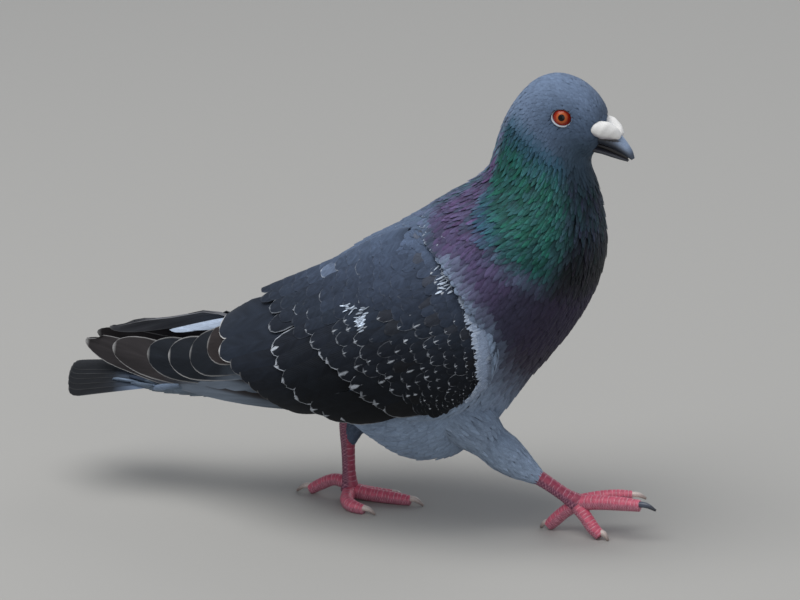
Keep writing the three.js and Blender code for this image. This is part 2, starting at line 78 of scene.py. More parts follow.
# Head, neck, trunk and rump: [back x, back z, belly x, belly z, half-width, where it is widest].
RUNGS = [
    [129, 199.5, 127, 188.5, 5.5, 0.5],
    [127, 205.5, 124.8, 184, 9.5, 0.5],
    [121.5, 212, 122.8, 181.5, 12, 0.5],
    [113.5, 216.6, 121.7, 180, 13.3, 0.48],
    [104, 218, 121.2, 178.6, 13.9, 0.47],
    [95, 214.8, 121, 177, 14.3, 0.48],
    [87.5, 207.5, 121.2, 175, 15, 0.49],
    [82, 199, 122, 172, 16.2, 0.5],
    [78.2, 190.5, 123.7, 167.5, 18.2, 0.52],
    [75.6, 181.5, 125.2, 161, 21.5, 0.54],
    [73, 173, 126.6, 152.5, 26, 0.55],
    [67, 166.5, 127.5, 143, 31.5, 0.56],
    [58.5, 161, 127.3, 133, 36.5, 0.56],
    [49, 155, 124.8, 122, 40.5, 0.55],
    [39.5, 148.3, 120, 109.5, 43, 0.55],
    [30, 142.2, 112, 96, 44.5, 0.54],
    [20.5, 136.6, 102, 82.5, 45, 0.53],
    [11, 131, 90.5, 68.5, 44.7, 0.52],
    [1.5, 124.5, 78.5, 52, 43, 0.5],
    [-8, 117.5, 65, 36.5, 41, 0.48],
    [-18, 111.5, 50, 28.5, 38.5, 0.47],
    [-28, 105.5, 35, 29.2, 35.5, 0.46],
    [-38, 98.5, 19, 42.5, 33, 0.46],
    [-50, 90, -2, 50, 30, 0.46],
    [-62, 81.5, -23, 50.5, 27.5, 0.48],
    [-74, 73.5, -46, 49, 25, 0.5],
    [-86, 66.5, -68, 48.2, 23, 0.5],
    [-96, 62.5, -86, 48.4, 21.5, 0.5],
    [-106, 60.6, -101, 50.5, 18, 0.5],
]
BODY_FULLNESS = 0.94

# The left wing's outer face: [x, top y, top z, middle y, middle z, bottom y, bottom z].
WING_STATIONS = [
    [87.6, 43, 95, 43.5, 91.5, 43, 88],
    [85.5, 40.5, 103.5, 46, 93, 44.5, 82],
    [80, 37.5, 115.5, 49, 95, 46, 75],
    [72, 34, 127.5, 51.5, 97, 46.5, 68],
    [60, 29, 139.5, 53, 99, 46.5, 61.5],
    [44, 22, 145, 53.5, 98, 45.5, 57],
    [24, 17, 136.5, 53, 93, 44, 54.5],
    [4, 13, 124.5, 50.5, 86.5, 42, 53.5],
    [-14, 10.5, 115, 46.5, 82, 39.5, 53],
    [-30, 8.5, 107, 41.5, 79, 36, 52.5],
    [-44, 7, 99, 36, 76.5, 33, 52.5],
    [-58, 5.5, 88, 30, 73, 30, 53],
]
PRIMARY_STATIONS = [
    [4, 33, 88, 37, 72, 35.5, 55],
    [-14, 28, 88, 35.5, 71, 34.5, 52.5],
    [-34, 20, 88, 31, 70, 31.5, 50.5],
    [-54, 14, 86, 25.5, 69, 27.5, 51],
    [-72, 11.5, 83.2, 20, 69, 23, 54.5],
    [-88, 9.5, 79.6, 15, 69, 18.5, 58.5],
    [-104, 8.4, 76.5, 11.5, 69, 14, 60.8],
    [-117, 8.2, 74, 9.8, 69.6, 11.4, 64.8],
    [-126, 8.2, 72.4, 9, 69.8, 9.8, 66.8],
    [-132, 8.2, 71.4, 8.8, 70, 9.4, 68.4],
]

# Side views of the wing, as [x, z], from its top edge to its bottom edge.
WING_FRONT = [
    [44, 145], [60, 139.5], [72, 127.5], [80, 115.5], [85.5, 103.5], [87.6, 92], [85, 81], [80, 75],
    [72, 68], [64, 63.5],
]
# The feathered pad between the breast and a folded wing's front edge:
# [x, distance from the middle, z, radius].
WING_PAD = [
    [80, 34, 112, 5], [83, 36, 101, 6.4], [82.5, 36.5, 90, 7], [78.5, 37, 80.5, 7.4],
    [72, 37.4, 72.5, 7.6], [62, 37.4, 67, 7.6], [50, 36.5, 63.5, 7],
]
# Lines through the tips of the greater, the median and the rearmost lesser coverts.
GREATER_TIPS = [
    [-27, 106], [-27, 102], [-26, 95], [-23, 90], [-18, 84], [-13, 75], [-7, 68], [-2, 62],
    [7, 58], [20, 55.5],
]
MEDIAN_TIPS = [
    [-4, 116], [-8, 109], [-10, 104], [-6, 100], [-1, 95], [7, 88], [14, 83], [24, 75], [36, 67], [44, 60],
]
LESSER_TIPS = [
    [14, 118], [10, 109], [7, 105], [11, 100], [16, 95], [22, 88], [29, 84], [37, 79], [45, 75],
    [52, 70], [55, 63],
]

# The folded tail: [x, middle z, half-width, thickness, droop of the sides].
TAIL_STATIONS = [
    [-62, 57.5, 16, 6, 4],
    [-80, 57.5, 19, 6, 5],
    [-100, 56.8, 22, 5.6, 6.2],
    [-118, 55.8, 24.5, 5, 7.6],
    [-133, 54.6, 26, 4.2, 8.8],
]

# The two halves of the bill, as rungs like the body's.
UPPER_BILL = [
    [118, 196, 117, 188, 5.2, 0.55],
    [125.5, 197.6, 123.5, 187.2, 5.4, 0.55],
    [131.2, 195.6, 128, 186.5, 4.8, 0.55],
    [135.6, 192.2, 132.2, 185.2, 3.9, 0.55],
    [139, 188.4, 135.8, 183.6, 3, 0.55],
    [141.4, 184.8, 138.8, 182, 2.1, 0.5],
    [142.6, 181.4, 141.2, 180.4, 0.8, 0.5],
]
LOWER_BILL = [
    [118, 187.5, 117, 184, 4.6, 0.5],
    [123.5, 186.4, 122, 183, 4.4, 0.5],
    [128.5, 185, 127.5, 182.2, 3.6, 0.5],
    [133.5, 183.2, 132.6, 180.9, 2.7, 0.5],
    [137.3, 181.8, 136.6, 180, 1.9, 0.5],
    [139.9, 180.4, 139.4, 179.4, 0.8, 0.5],
]
BILL_ROOT = (121.5, 5.6, 181.5, 198.5)  # where it leaves the face: x, half-width, lowest and highest z

# Limbs: [x, y, z, radius] along the middle line.
LEGS = {
    "left": {
        "thigh": [
            [34, 16, 62, 18], [22, 13, 53, 14], [11, 11, 44, 9.5], [3, 9.5, 36.5, 5.6], [0.5, 9, 30, 3.6],
        ],
        "tarsus": [
            [-0.5, 9.5, 43, 4], [-1, 9, 36, 4], [-0.6, 8.6, 24, 3.3], [0, 8.2, 12.5, 3.3], [0.6, 8, 4.6, 4.6],
        ],
        "toe_middle": [[2, 8, 4.4, 3.6], [12, 8, 3.4, 3.3], [23, 8.6, 2.7, 3], [30.5, 9, 2.2, 2.5]],
        "toe_inner": [[1, 6, 4.2, 3.4], [3, -3, 3, 3.2], [8, -9.5, 2.8, 3.1], [14.5, -11.4, 2.1, 2.4]],
        "toe_outer": [[2, 10, 4.2, 3.3], [9, 12.8, 3, 2.9], [18.5, 16, 2, 2.3]],
        "toe_hind": [[-1, 8.6, 8, 3.4], [-8, 10, 8.2, 2.9], [-14, 10.8, 5.6, 2.9], [-20.5, 11, 1.8, 2.6]],
        "claw_middle": [[28.5, 8.9, 3.2, 1.5], [33, 9.1, 3, 1.3], [37, 9.2, 0.4, 0.55]],
        "claw_inner": [[12.5, -11, 3, 1.5], [17, -11.8, 2.8, 1.2], [20.5, -11.6, 0.4, 0.55]],
        "claw_outer": [[17, 15.6, 2.8, 1.4], [21, 17, 2.6, 1.2], [24.5, 18, 0.4, 0.55]],
        "claw_hind": [[-18.5, 11, 3.6, 1.5], [-23.5, 11, 3.2, 1.3], [-27.5, 11, 0.4, 0.55]],
    },
    "right": {
        "thigh": [
            [59, -13.5, 60, 16.5], [71, -15, 50, 12.5], [78, -13.5, 43, 9.2], [84.5, -12, 37.6, 9],
            [90.5, -10, 32.6, 7.4], [97, -8.4, 28, 4.8],
        ],
        "tarsus": [
            [87, -9.4, 34, 4], [92.5, -8.6, 30.5, 4], [104, -7.2, 23.8, 3.4], [112, -6, 18.6, 3.4],
            [118, -5, 15, 4.4],
        ],
        "toe_middle": [
            [119, -5, 15, 3.7], [128, -5.5, 16.4, 3.5], [139, -6.2, 17.2, 3.3], [149, -6.8, 17.4, 2.8],
        ],
        "toe_inner": [
            [119, -3.5, 15.4, 3.4], [127, -0.2, 17.2, 3.1], [135, 2.2, 18.2, 2.9], [142, 3.8, 18.4, 2.4],
        ],
        "toe_outer": [
            [118.5, -6, 13.6, 3.5], [122.5, -7.4, 9.8, 3.2], [127, -8.8, 4.9, 3.1], [131, -9.8, 1.8, 2.6],
        ],
        "toe_hind": [
            [116.5, -4.6, 13.4, 3.3], [111.5, -4, 9.6, 3.1], [106.5, -3.4, 4.8, 3.1], [103.6, -3, 1.8, 2.6],
        ],
        "claw_middle": [[147.5, -6.7, 18, 1.5], [152.5, -7, 18, 1.3], [157, -7.4, 16.2, 0.55]],
        "claw_inner": [[140.5, 3.5, 19, 1.4], [145, 4.2, 19, 1.2], [148.5, 4.8, 17.4, 0.55]],
        "claw_outer": [[129.8, -9.4, 3.6, 1.5], [133, -10.4, 3, 1.3], [135.2, -11, 0.3, 0.6]],
        "claw_hind": [[104.8, -3.2, 3.4, 1.5], [101.6, -2.8, 3, 1.3], [99.4, -2.6, 0.3, 0.6]],
    },
}
DIGITS = ("middle", "inner", "outer", "hind")
EYE_MIDDLE = (111.0, 8.5, 200.0)
EYE_RADIUS = 5.6


class Side(Enum):
    """A side of the bird, with the sign of its y."""

    LEFT = 1
    RIGHT = -1

    @property
    def word(self) -> str:
        """The side's name in the names of nodes and pieces."""
        return self.name.lower()


# ------------------------------------------------------------------ small tools


def wing_form(stations: list[list[float]], side: Side) -> list[list[float]]:
    """The stations of one wing: the left one lies lower behind the shoulder, and higher at the rear.

    Args:
        stations: Those of the right wing.
        side: Which wing.

    Returns:
        The stations to build with.
    """
    if side is Side.RIGHT:
        return stations
    back = -np.array(stations)[:, 0]
    rise = 3.5 * fade(back, 50, 66) * (1 - fade(back, 102, 132))
    rise -= 5.0 * fade(back, -40, -20) * (1 - fade(back, 44, 60))
    return [[*row[:2], row[2] + up, row[3], row[4] + up / 2, *row[5:]] for row, up in zip(stations, rise)]


def linear(colour: str) -> Array:
    """Turns an sRGB hex colour into linear light.

    Args:
        colour: The colour, such as "#5d6f88".

    Returns:
        Three numbers from 0 to 1.
    """
    coded = np.array([int(colour[i : i + 2], 16) for i in (1, 3, 5)]) / 255
    return np.where(coded <= 0.04045, coded / 12.92, ((coded + 0.055) / 1.055) ** 2.4)


def rgba(colour: str) -> tuple[float, ...]:
    """A hex colour as a shader socket takes it."""
    return (*linear(colour), 1.0)


def fade(value: Array, start: float, end: float) -> Array:
    """A smooth step from 0 at start to 1 at end.

    Args:
        value: Where to read the step.
        start: Where it leaves 0.
        end: Where it reaches 1.

    Returns:
        The step's height at each value.
    """
    share = np.clip((value - start) / (end - start), 0, 1)
    return share * share * (3 - 2 * share)


def blend(first: Array, second: Array, share: Array) -> Array:
    """Mixes two colours, or two lists of colours, by a share for each place."""
    return first + (second - first) * np.asarray(share)[..., None]


def unit(vectors: Array) -> Array:
    """Vectors of the same directions, one long."""
    return vectors / np.maximum(np.linalg.norm(vectors, axis=-1, keepdims=True), 1e-12)


def through(table: list[list[float]], at: Array) -> Array:
    """Reads the smooth curves through a table's columns, straight on past its two ends.

    Args:
        table: Rows of numbers.
        at: Where to read, counted in rows.

    Returns:
        The columns' values at each place.
    """
    rows = np.asarray(table, float)
    last = len(rows) - 1
    padded = np.vstack([2 * rows[0] - rows[1], rows, 2 * rows[-1] - rows[-2]])
    inside = np.clip(at, 0, last)
    index = np.minimum(inside.astype(int), last - 1)
    t = (inside - index)[..., None]
    before, start, end, after = (padded[index + k] for k in range(4))
    leave, arrive = (end - before) / 2, (after - start) / 2
    curve = (2 * t**3 - 3 * t**2 + 1) * start + (t**3 - 2 * t**2 + t) * leave
    curve += (3 * t**2 - 2 * t**3) * end + (t**3 - t**2) * arrive
    over = (np.asarray(at) - inside)[..., None]
    slope = np.where(over > 0, rows[-1] - rows[-2], rows[1] - rows[0])
    return curve + over * slope


def reach_along(line: Array) -> Array:
    """How far along a polyline each of its points lies."""
    return np.concatenate([[0], np.cumsum(np.linalg.norm(np.diff(line, axis=0), axis=1))])


def along_line(points: list[list[float]], share: Array) -> Array:
    """Points on a polyline at shares of its length.

    Args:
        points: The polyline.
        share: From 0 at its start to 1 at its end.

    Returns:
        A point for each share.
    """
    line = np.asarray(points, float)
    reach = reach_along(line)
    at = np.asarray(share) * reach[-1]
    return np.stack([np.interp(at, reach, column) for column in line.T], axis=-1)


def stations_at(table: list[list[float]], x: Array, past: float, steps: int) -> Array:
    """Reads a table of stations, whose x falls from row to row, at places along x.

    Args:
        table: The stations, x first.
        x: Where to read.
        past: How many rows past its two ends it may be read.
        steps: How finely.

    Returns:
        The columns' values at each place.
    """
    finely = np.linspace(-past, len(table) - 1 + past, steps)
    at = np.interp(-np.asarray(x), -through(table, finely)[:, 0], finely)
    return through(table, at)


def on_left(points: Array) -> Array:
    """The same points, with those of the right side mirrored to the left."""
    return points * np.array([1, 0, 1]) + np.abs(points) * np.array([0, 1, 0])


def search_tree(points: Array) -> KDTree:
    """Makes a tree in which points are found by place.

    Args:
        points: The points.

    Returns:
        The tree.
    """
    tree = KDTree(len(points))
    for index, point in enumerate(points):
        tree.insert(point, index)
    tree.balance()
    return tree


@dataclass(frozen=True)
class Frame:
    """Where the forms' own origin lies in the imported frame."""

    shift: Array

    @classmethod
    def from_eyes(cls) -> Frame:
        """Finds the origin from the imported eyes, whose middles the forms give."""
        corners = [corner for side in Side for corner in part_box(f"eye_{side.word}")]
        middle = np.mean([list(corner) for corner in corners], axis=0) / MM
        return cls(middle - np.array([EYE_MIDDLE[0], 0.0, EYE_MIDDLE[2]]))

    def place(self, points: Array) -> Array:
        """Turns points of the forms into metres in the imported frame."""
        return (np.asarray(points) + self.shift) * MM


# ------------------------------------------------------------------ surfaces


class Surface:
    """A form whose outside is given by two numbers, u along it and v round or across it."""

    def point(self, u: Array, v: Array) -> Array:
        """Points on the form, in millimetres."""
        raise NotImplementedError

    def middle(self, u: Array, v: Array) -> Array:
        """Points inside the form, from which its outside faces away."""
        raise NotImplementedError

    def frames(self, u: Array, v: Array) -> tuple[Array, ...]:
        """Finds the form's slopes.

        Args:
            u: Places along the form.
            v: Places round it.

        Returns:
            The points, their change with u and with v, and the outward normals.
        """
        here = self.point(u, v)
        by_u = (self.point(u + STEP, v) - self.point(u - STEP, v)) / (2 * STEP)
        by_v = (self.point(u, v + STEP) - self.point(u, v - STEP)) / (2 * STEP)
        normal = unit(np.cross(by_u, by_v))
        outwards = np.sum(normal * (here - self.middle(u, v)), axis=-1, keepdims=True)
        return here, by_u, by_v, np.where(outwards < 0, -normal, normal)

    def raised(self, u: Array, v: Array, height: Array) -> Array:
        """Points at a height over the form."""
        here, _, _, normal = self.frames(u, v)
        return here + normal * np.asarray(height)[..., None]


@dataclass(frozen=True)
class Rungs(Surface):
    """A form given by rungs: u counts rungs, v is 0 on the back and goes round by the left side."""

    table: list[list[float]]

    def point(self, u: Array, v: Array) -> Array:
        """Points on the form, in millimetres."""
        values = through(self.table, u)
        back, belly, half, widest = values[..., 0:2], values[..., 2:4], values[..., 4], values[..., 5]
        bend = np.log(widest) / math.log(0.5)
        down = ((1 - np.cos(v)) / 2) ** bend
        flat = back + (belly - back) * down[..., None]
        out = np.sign(np.sin(v)) * np.abs(np.sin(v)) ** BODY_FULLNESS * half
        return np.stack([flat[..., 0], out, flat[..., 1]], axis=-1)

    def middle(self, u: Array, v: Array) -> Array:
        """The middle of each rung."""
        values = through(self.table, u)
        flat = (values[..., 0:2] + values[..., 2:4]) / 2
        return np.stack([flat[..., 0], np.zeros_like(flat[..., 0]), flat[..., 1]], axis=-1)


@dataclass(frozen=True)
class Limb(Surface):
    """A rounded limb: u counts the points of its middle line, v is 0 on its front or top."""

    line: list[list[float]]

    def axes(self, u: Array) -> tuple[Array, ...]:
        """Finds the limb's own directions.

        Args:
            u: Places along it.

        Returns:
            The middle line's points, its side and top directions, and the radius.
        """
        here = through(self.line, u)
        forward = unit(self.middle(u + 0.05, u) - self.middle(u - 0.05, u))
        ends = np.asarray(self.line, float)
        run = unit(ends[-1, :3] - ends[0, :3])
        guide = np.array([1.0, 0.0, 0.0]) if abs(run[2]) > 0.8 else np.array([0.0, 0.0, 1.0])
        side = unit(np.cross(forward, np.broadcast_to(guide, forward.shape)))
        return here[..., :3], side, np.cross(side, forward), here[..., 3]

    def point(self, u: Array, v: Array) -> Array:
        """Points on the limb, in millimetres."""
        here, side, top, radius = self.axes(u)
        ring = side * np.sin(v)[..., None] + top * np.cos(v)[..., None]
        return here + ring * radius[..., None]

    def middle(self, u: Array, v: Array) -> Array:
        """The limb's middle line."""
        return through(self.line, u)[..., :3]


@dataclass(frozen=True)
class WingFace(Surface):
    """The outer face of a folded wing: u is x and v is z."""

    stations: list[list[float]]
    side: Side

    def point(self, u: Array, v: Array) -> Array:
        """Points on the face, in millimetres."""
        values = stations_at(self.stations, u, 2, 600)
        top, bulge, bottom = values[..., 1:3], values[..., 3:5], values[..., 5:7]
        pull = 2 * bulge - (top + bottom) / 2
        square = top[..., 1] - 2 * pull[..., 1] + bottom[..., 1]
        once = 2 * (pull[..., 1] - top[..., 1])
        over = np.maximum(v - top[..., 1], 0)  # past the upper edge, the face folds inwards over the back
        level = top[..., 1] - v + over
        root = np.sqrt(np.maximum(once**2 - 4 * square * level, 0))
        share = np.clip(2 * level / np.maximum(root - once, 1e-6), 0, 1.3)
        y = (1 - share) ** 2 * top[..., 0] + 2 * share * (1 - share) * pull[..., 0]
        y += share**2 * bottom[..., 0] - over
        return np.stack([u + 0 * y, self.side.value * np.maximum(y, 0.3), v - over + 0 * y], axis=-1)

    def column(self, number: int, x: Array) -> Array:
        """What one of the stations' columns says at each x."""
        rows = through(self.stations, np.linspace(0, len(self.stations) - 1, 200))
        return np.interp(-x, -rows[:, 0], rows[:, number])

    def covers(self, points: Array, margin: float) -> Array:
        """Whether points of the body lie behind the wing, seen from its side.

        Args:
            points: The points.
            margin: How far inside the wing's outline they lie at least, in millimetres.

        Returns:
            True or False for each.
        """
        x, out, height = points[..., 0], points[..., 1] * self.side.value, points[..., 2]
        inside = height < self.column(TOP_Z, x) - margin
        inside &= height > self.column(BOTTOM_Z, x) + margin
        inside &= out > self.column(TOP_Y, x) * 0.8
        return inside & (x < self.stations[0][0] - margin) & (x > self.stations[-1][0])

    def middle(self, u: Array, v: Array) -> Array:
        """Points deep inside the bird, at the same x."""
        return np.stack([u + 0 * v, 0 * u - 40.0 * self.side.value, 0 * u + 40.0], axis=-1)


@dataclass(frozen=True)
class TailTop(Surface):
    """The upper face of the folded tail: u is x and v is y."""

    def point(self, u: Array, v: Array) -> Array:
        """Points on the face, in millimetres."""
        _, height, half, thick, droop = np.moveaxis(stations_at(TAIL_STATIONS, u, 1, 300), -1, 0)
        return np.stack([u + 0 * v, v + 0 * u, height + thick / 2 - droop * (v / half) ** 2], axis=-1)

    def middle(self, u: Array, v: Array) -> Array:
        """Points under the tail."""
        return np.stack([u + 0 * v, 0 * v, 0 * v], axis=-1)


@dataclass(frozen=True)
class RumpTop(Surface):
    """The ridge of the rump between the folded wings' tips: u is x and v is y."""

    def point(self, u: Array, v: Array) -> Array:
        """Points on the ridge, in millimetres."""
        height = np.interp(-np.asarray(u), [36, 46, 58, 70, 86, 100], [96, 91, 85.5, 82, 77, 72])
        return np.stack([u + 0 * v, v + 0 * u, height - 0.05 * v**2], axis=-1)

    def middle(self, u: Array, v: Array) -> Array:
        """Points under the rump."""
        return np.stack([u + 0 * v, 0 * v, 0 * v], axis=-1)


# ------------------------------------------------------------------ finishes


def add_node(
    tree: bpy.types.NodeTree, kind: str, inputs: dict | tuple = (), **settings: object
) -> bpy.types.Node:
    """Adds a node with its settings, its values and its links.

    Args:
        tree: The material's nodes.
        kind: The node's type, without its prefix.
        inputs: Values for its inputs, in order or by name. An output is linked, and so is a node's first one.
        settings: The node's own properties.

    Returns:
        The new node.
    """
    made = tree.nodes.new(f"ShaderNode{kind}")
    for name, value in settings.items():
        setattr(made, name, value)
    for socket, value in inputs.items() if isinstance(inputs, dict) else enumerate(inputs):
        source = value.outputs[0] if isinstance(value, bpy.types.Node) else value
        if isinstance(source, bpy.types.NodeSocket):
            tree.links.new(source, made.inputs[socket])
        else:
            made.inputs[socket].default_value = source
    return made


def new_material(name: str) -> tuple[Material, bpy.types.NodeTree]:
    """Makes a material with nothing in it but its output.

    Args:
        name: The material's name.

    Returns:
        The material and its nodes.
    """
    material = bpy.data.materials.new(name)
    material.use_nodes = True
    tree = material.node_tree
    tree.nodes.clear()
    add_node(tree, "OutputMaterial")
    return material, tree


def finish_surface(tree: bpy.types.NodeTree, inputs: dict) -> None:
    """Ends a material in one Principled shader with these inputs."""
    shader = add_node(tree, "BsdfPrincipled", inputs)
    tree.links.new(shader.outputs["BSDF"], tree.nodes["Material Output"].inputs["Surface"])


@dataclass(frozen=True)
class FeatherFinish:
    """Keratin feather vanes. Their colour, pale edges and tip spots come from each piece's own attributes."""

    name: str
    pale: str  # of the edges and the tip spots
    barbs: float = 26.0  # barbs drawn along a vane, coarser than real ones so that they show
    barb_depth: float = 0.10
    clump: float = 0.22  # how much tufts of barbs differ
    shaft: float = 0.12  # how much the shaft stands out
    painted_root_shade: float = 0.45  # painted shade at a vane's root, where the feathers over it would shadow it
    roughness: float = 0.75
    metallic: float = 0.0
    sheen: float = 0.06
    bump: float = 0.25
    specular: float = 0.2
    rim: tuple[float, float] = (0.84, 0.97)  # where the pale side edges begin and are full, across the vane
    tip_rim: tuple[float, float] = (0.95, 0.985)  # the same along it
    broken: float = 0.22  # how unevenly the pale edges run
    shade_end: float = 0.55  # how far along a feather the painted shade at its root reaches

    def make(self) -> Material:
        """Builds the material.

        Returns:
            The material.
        """
        material, tree = new_material(self.name)
        vane = add_node(tree, "UVMap", uv_map="Vane")
        place = add_node(tree, "SeparateXYZ", (vane,))
        along = place.outputs[1]
        signed = add_node(tree, "Math", (place, 2.0, -1.0), operation="MULTIPLY_ADD")
        across = add_node(tree, "Math", (signed,), operation="ABSOLUTE")
        tint = add_node(tree, "Attribute", attribute_name="tint")
        mark = add_node(tree, "Attribute", attribute_name="mark")
        spot, edge, seed = add_node(tree, "SeparateColor", (mark,)).outputs

        # Barbs run out and forwards from the shaft, so their lines slant.
        slant = add_node(tree, "Math", (across, -0.22, along), operation="MULTIPLY_ADD")
        phase = add_node(tree, "Math", (slant, self.barbs * TAU), operation="MULTIPLY")
        wave = add_node(tree, "Math", (phase,), operation="SINE")
        offset = add_node(tree, "Math", (seed, 40.0), operation="MULTIPLY")
        spread = add_node(tree, "CombineXYZ", (signed, slant, offset))
        stretch = add_node(tree, "VectorMath", (spread, (1.2, 9.0, 1.0)), operation="MULTIPLY")
        tufts = add_node(tree, "TexNoise", {"Vector": stretch, "Scale": 1.0, "Detail": 3.0})

        # A vane takes painted shade at its root, where the feathers over it would shadow it; it is also
        # darker between its tufts and barbs, and its shaft stands out.
        root = add_node(tree, "MapRange", (along, 0.05, self.shade_end, 1 - self.painted_root_shade, 1.0))
        barb = add_node(tree, "Math", (wave, self.barb_depth, 1.0), operation="MULTIPLY_ADD")
        tuft = add_node(tree, "MapRange", (tufts, 0.3, 0.7, 1 - self.clump, 1 + self.clump))
        shaft = add_node(tree, "MapRange", (across, 0.02, 0.09, 1 + self.shaft, 1.0))
        web = add_node(tree, "Math", (barb, tuft), operation="MULTIPLY")
        root_shaded = add_node(tree, "Math", (web, root), operation="MULTIPLY")
        whole = add_node(tree, "Math", (root_shaded, shaft), operation="MULTIPLY")
        body = add_node(tree, "VectorMath", {0: tint, "Scale": whole}, operation="SCALE")

        # The pale rim follows the side edges and the tip; the spot is a wedge that opens at the tip.
        ragged = add_node(tree, "Math", (tufts, self.broken, -self.broken / 2), operation="MULTIPLY_ADD")
        side_line = add_node(tree, "Math", (across, ragged), operation="ADD")
        side_rim = add_node(tree, "MapRange", (side_line, *self.rim))
        reach = add_node(tree, "MapRange", (along, 0.45, 0.8))
        side_pale = add_node(tree, "Math", (side_rim, reach), operation="MULTIPLY")
        evened = 1.6 - 1.6 * self.tip_rim[0]
        tip_line = add_node(tree, "Math", (ragged, evened, along), operation="MULTIPLY_ADD")
        tip_pale = add_node(tree, "MapRange", (tip_line, *self.tip_rim))
        rim = add_node(tree, "Math", (side_pale, tip_pale), operation="MAXIMUM")
        rim_part = add_node(tree, "Math", (rim, edge), operation="MULTIPLY")
        from_tip = add_node(tree, "Math", (1.0, along), operation="SUBTRACT")
        wedge = add_node(tree, "Math", (across, 0.5, from_tip), operation="MULTIPLY_ADD")
        rough_wedge = add_node(tree, "Math", (ragged, 3.2, wedge), operation="MULTIPLY_ADD")
        inside = add_node(tree, "Math", (spot, rough_wedge), operation="SUBTRACT")
        spot_part = add_node(tree, "MapRange", (inside, -0.02, 0.06))
        spotted = add_node(tree, "MapRange", (spot, 0.01, 0.04))
        spots = add_node(tree, "Math", (spot_part, spotted), operation="MULTIPLY")
        pale = add_node(tree, "Math", (rim_part, spots), operation="MAXIMUM")
        paleness = add_node(tree, "Math", (seed, 0.5, 0.65), operation="MULTIPLY_ADD")
        pale_shade = add_node(tree, "Math", (web, paleness), operation="MULTIPLY")
        white = add_node(tree, "VectorMath", {0: linear(self.pale), "Scale": pale_shade}, operation="SCALE")
        colour = add_node(tree, "Mix", {0: pale, 6: body, 7: white}, data_type="RGBA")

        ridge = add_node(tree, "Math", (wave, 0.5, tufts), operation="MULTIPLY_ADD")
        relief = add_node(tree, "Bump", {"Height": ridge, "Strength": self.bump, "Distance": GRAIN_HEIGHT})
        finish_surface(tree, {
            "Base Color": colour.outputs[2], "Roughness": self.roughness, "Metallic": self.metallic,
            "Sheen Weight": self.sheen, "Sheen Roughness": 0.4, "Specular IOR Level": self.specular,
            "Normal": relief,
        })
        return material


@dataclass(frozen=True)
class SkinFinish:
    """Down and skin deep between the feathers: the colour of the coat over it, darkened for the down and as
    painted shade in the gaps, and quite dull.
    """

    name: str = "pigeon skin and down"
    # depth is the share of the coat's colour kept; the rest is the down's darkness and painted shade in the
    # gaps
    depth: float = 0.62

    def make(self) -> Material:
        """Builds the material.

        Returns:
            The material.
        """
        material, tree = new_material(self.name)
        tint = add_node(tree, "Attribute", attribute_name="tint")
        place = add_node(tree, "TexCoord").outputs["Object"]
        down = add_node(tree, "TexNoise", {"Vector": place, "Scale": 900.0, "Detail": 4.0})
        # The coat's colour, darkened: partly the down, partly painted shade deep between the feathers.
        dark = add_node(tree, "MapRange", (down, 0.0, 1.0, self.depth * 0.6, self.depth * 1.4))
        colour = add_node(tree, "VectorMath", {0: tint, "Scale": dark}, operation="SCALE")
        relief = add_node(tree, "Bump", {"Height": down, "Strength": 0.4, "Distance": 0.3 * MM})
        finish_surface(tree, {
            "Base Color": colour, "Roughness": 0.95, "Specular IOR Level": 0.2, "Normal": relief,
        })
        return material


@dataclass(frozen=True)
class IrisFinish:
    """A wet eye: an orange-red iris with a paler ring round a black pupil, under a clear gloss."""

    name: str = "wet eye, orange-red iris"
    pupil: str = "#060505"
    ring: str = "#b0572a"
    iris: str = "#8c200c"
    rim: str = "#3a0f0b"
    white: str = "#6b5550"
    reach: float = 5.0  # from the pupil's middle into the white, in millimetres
    pupil_edge: tuple[float, float] = (1.36, 1.46)  # where the pupil ends, in millimetres

    def make(self) -> Material:
        """Builds the material. It reads how far each point is from the middle of the pupil, in millimetres.

        Returns:
            The material.
        """
        material, tree = new_material(self.name)
        ring = add_node(tree, "Attribute", attribute_name="from_pupil").outputs["Fac"]
        spoke = add_node(tree, "Attribute", attribute_name="spoke").outputs["Vector"]
        rays = add_node(tree, "TexNoise", {"Vector": spoke, "Scale": 7.0, "Detail": 3.0})
        waver = add_node(tree, "Math", (rays, 0.7, -0.35), operation="MULTIPLY_ADD")
        at = add_node(tree, "Math", (ring, waver), operation="ADD")
        share = add_node(tree, "Math", (at, 1 / self.reach), operation="MULTIPLY")
        ramp = add_node(tree, "ValToRGB", (share,))
        stops = (
            (0.0, self.ring), (0.42, self.ring), (0.54, self.iris), (0.8, self.iris), (0.87, self.rim),
            (0.95, self.white),
        )
        for _ in range(len(stops) - 2):
            ramp.color_ramp.elements.new(0.5)
        for element, (position, colour) in zip(ramp.color_ramp.elements, stops):
            element.position = position
            element.color = rgba(colour)
        pupil = add_node(tree, "MapRange", (ring, *self.pupil_edge))
        colour = add_node(tree, "Mix", {0: pupil, 6: rgba(self.pupil), 7: ramp}, data_type="RGBA")
        finish_surface(tree, {
            "Base Color": colour.outputs[2], "Roughness": 0.4, "Specular IOR Level": 0.1, "Coat Weight": 0.55,
            "Coat Roughness": 0.03, "Coat IOR": 1.376,
        })
        return material


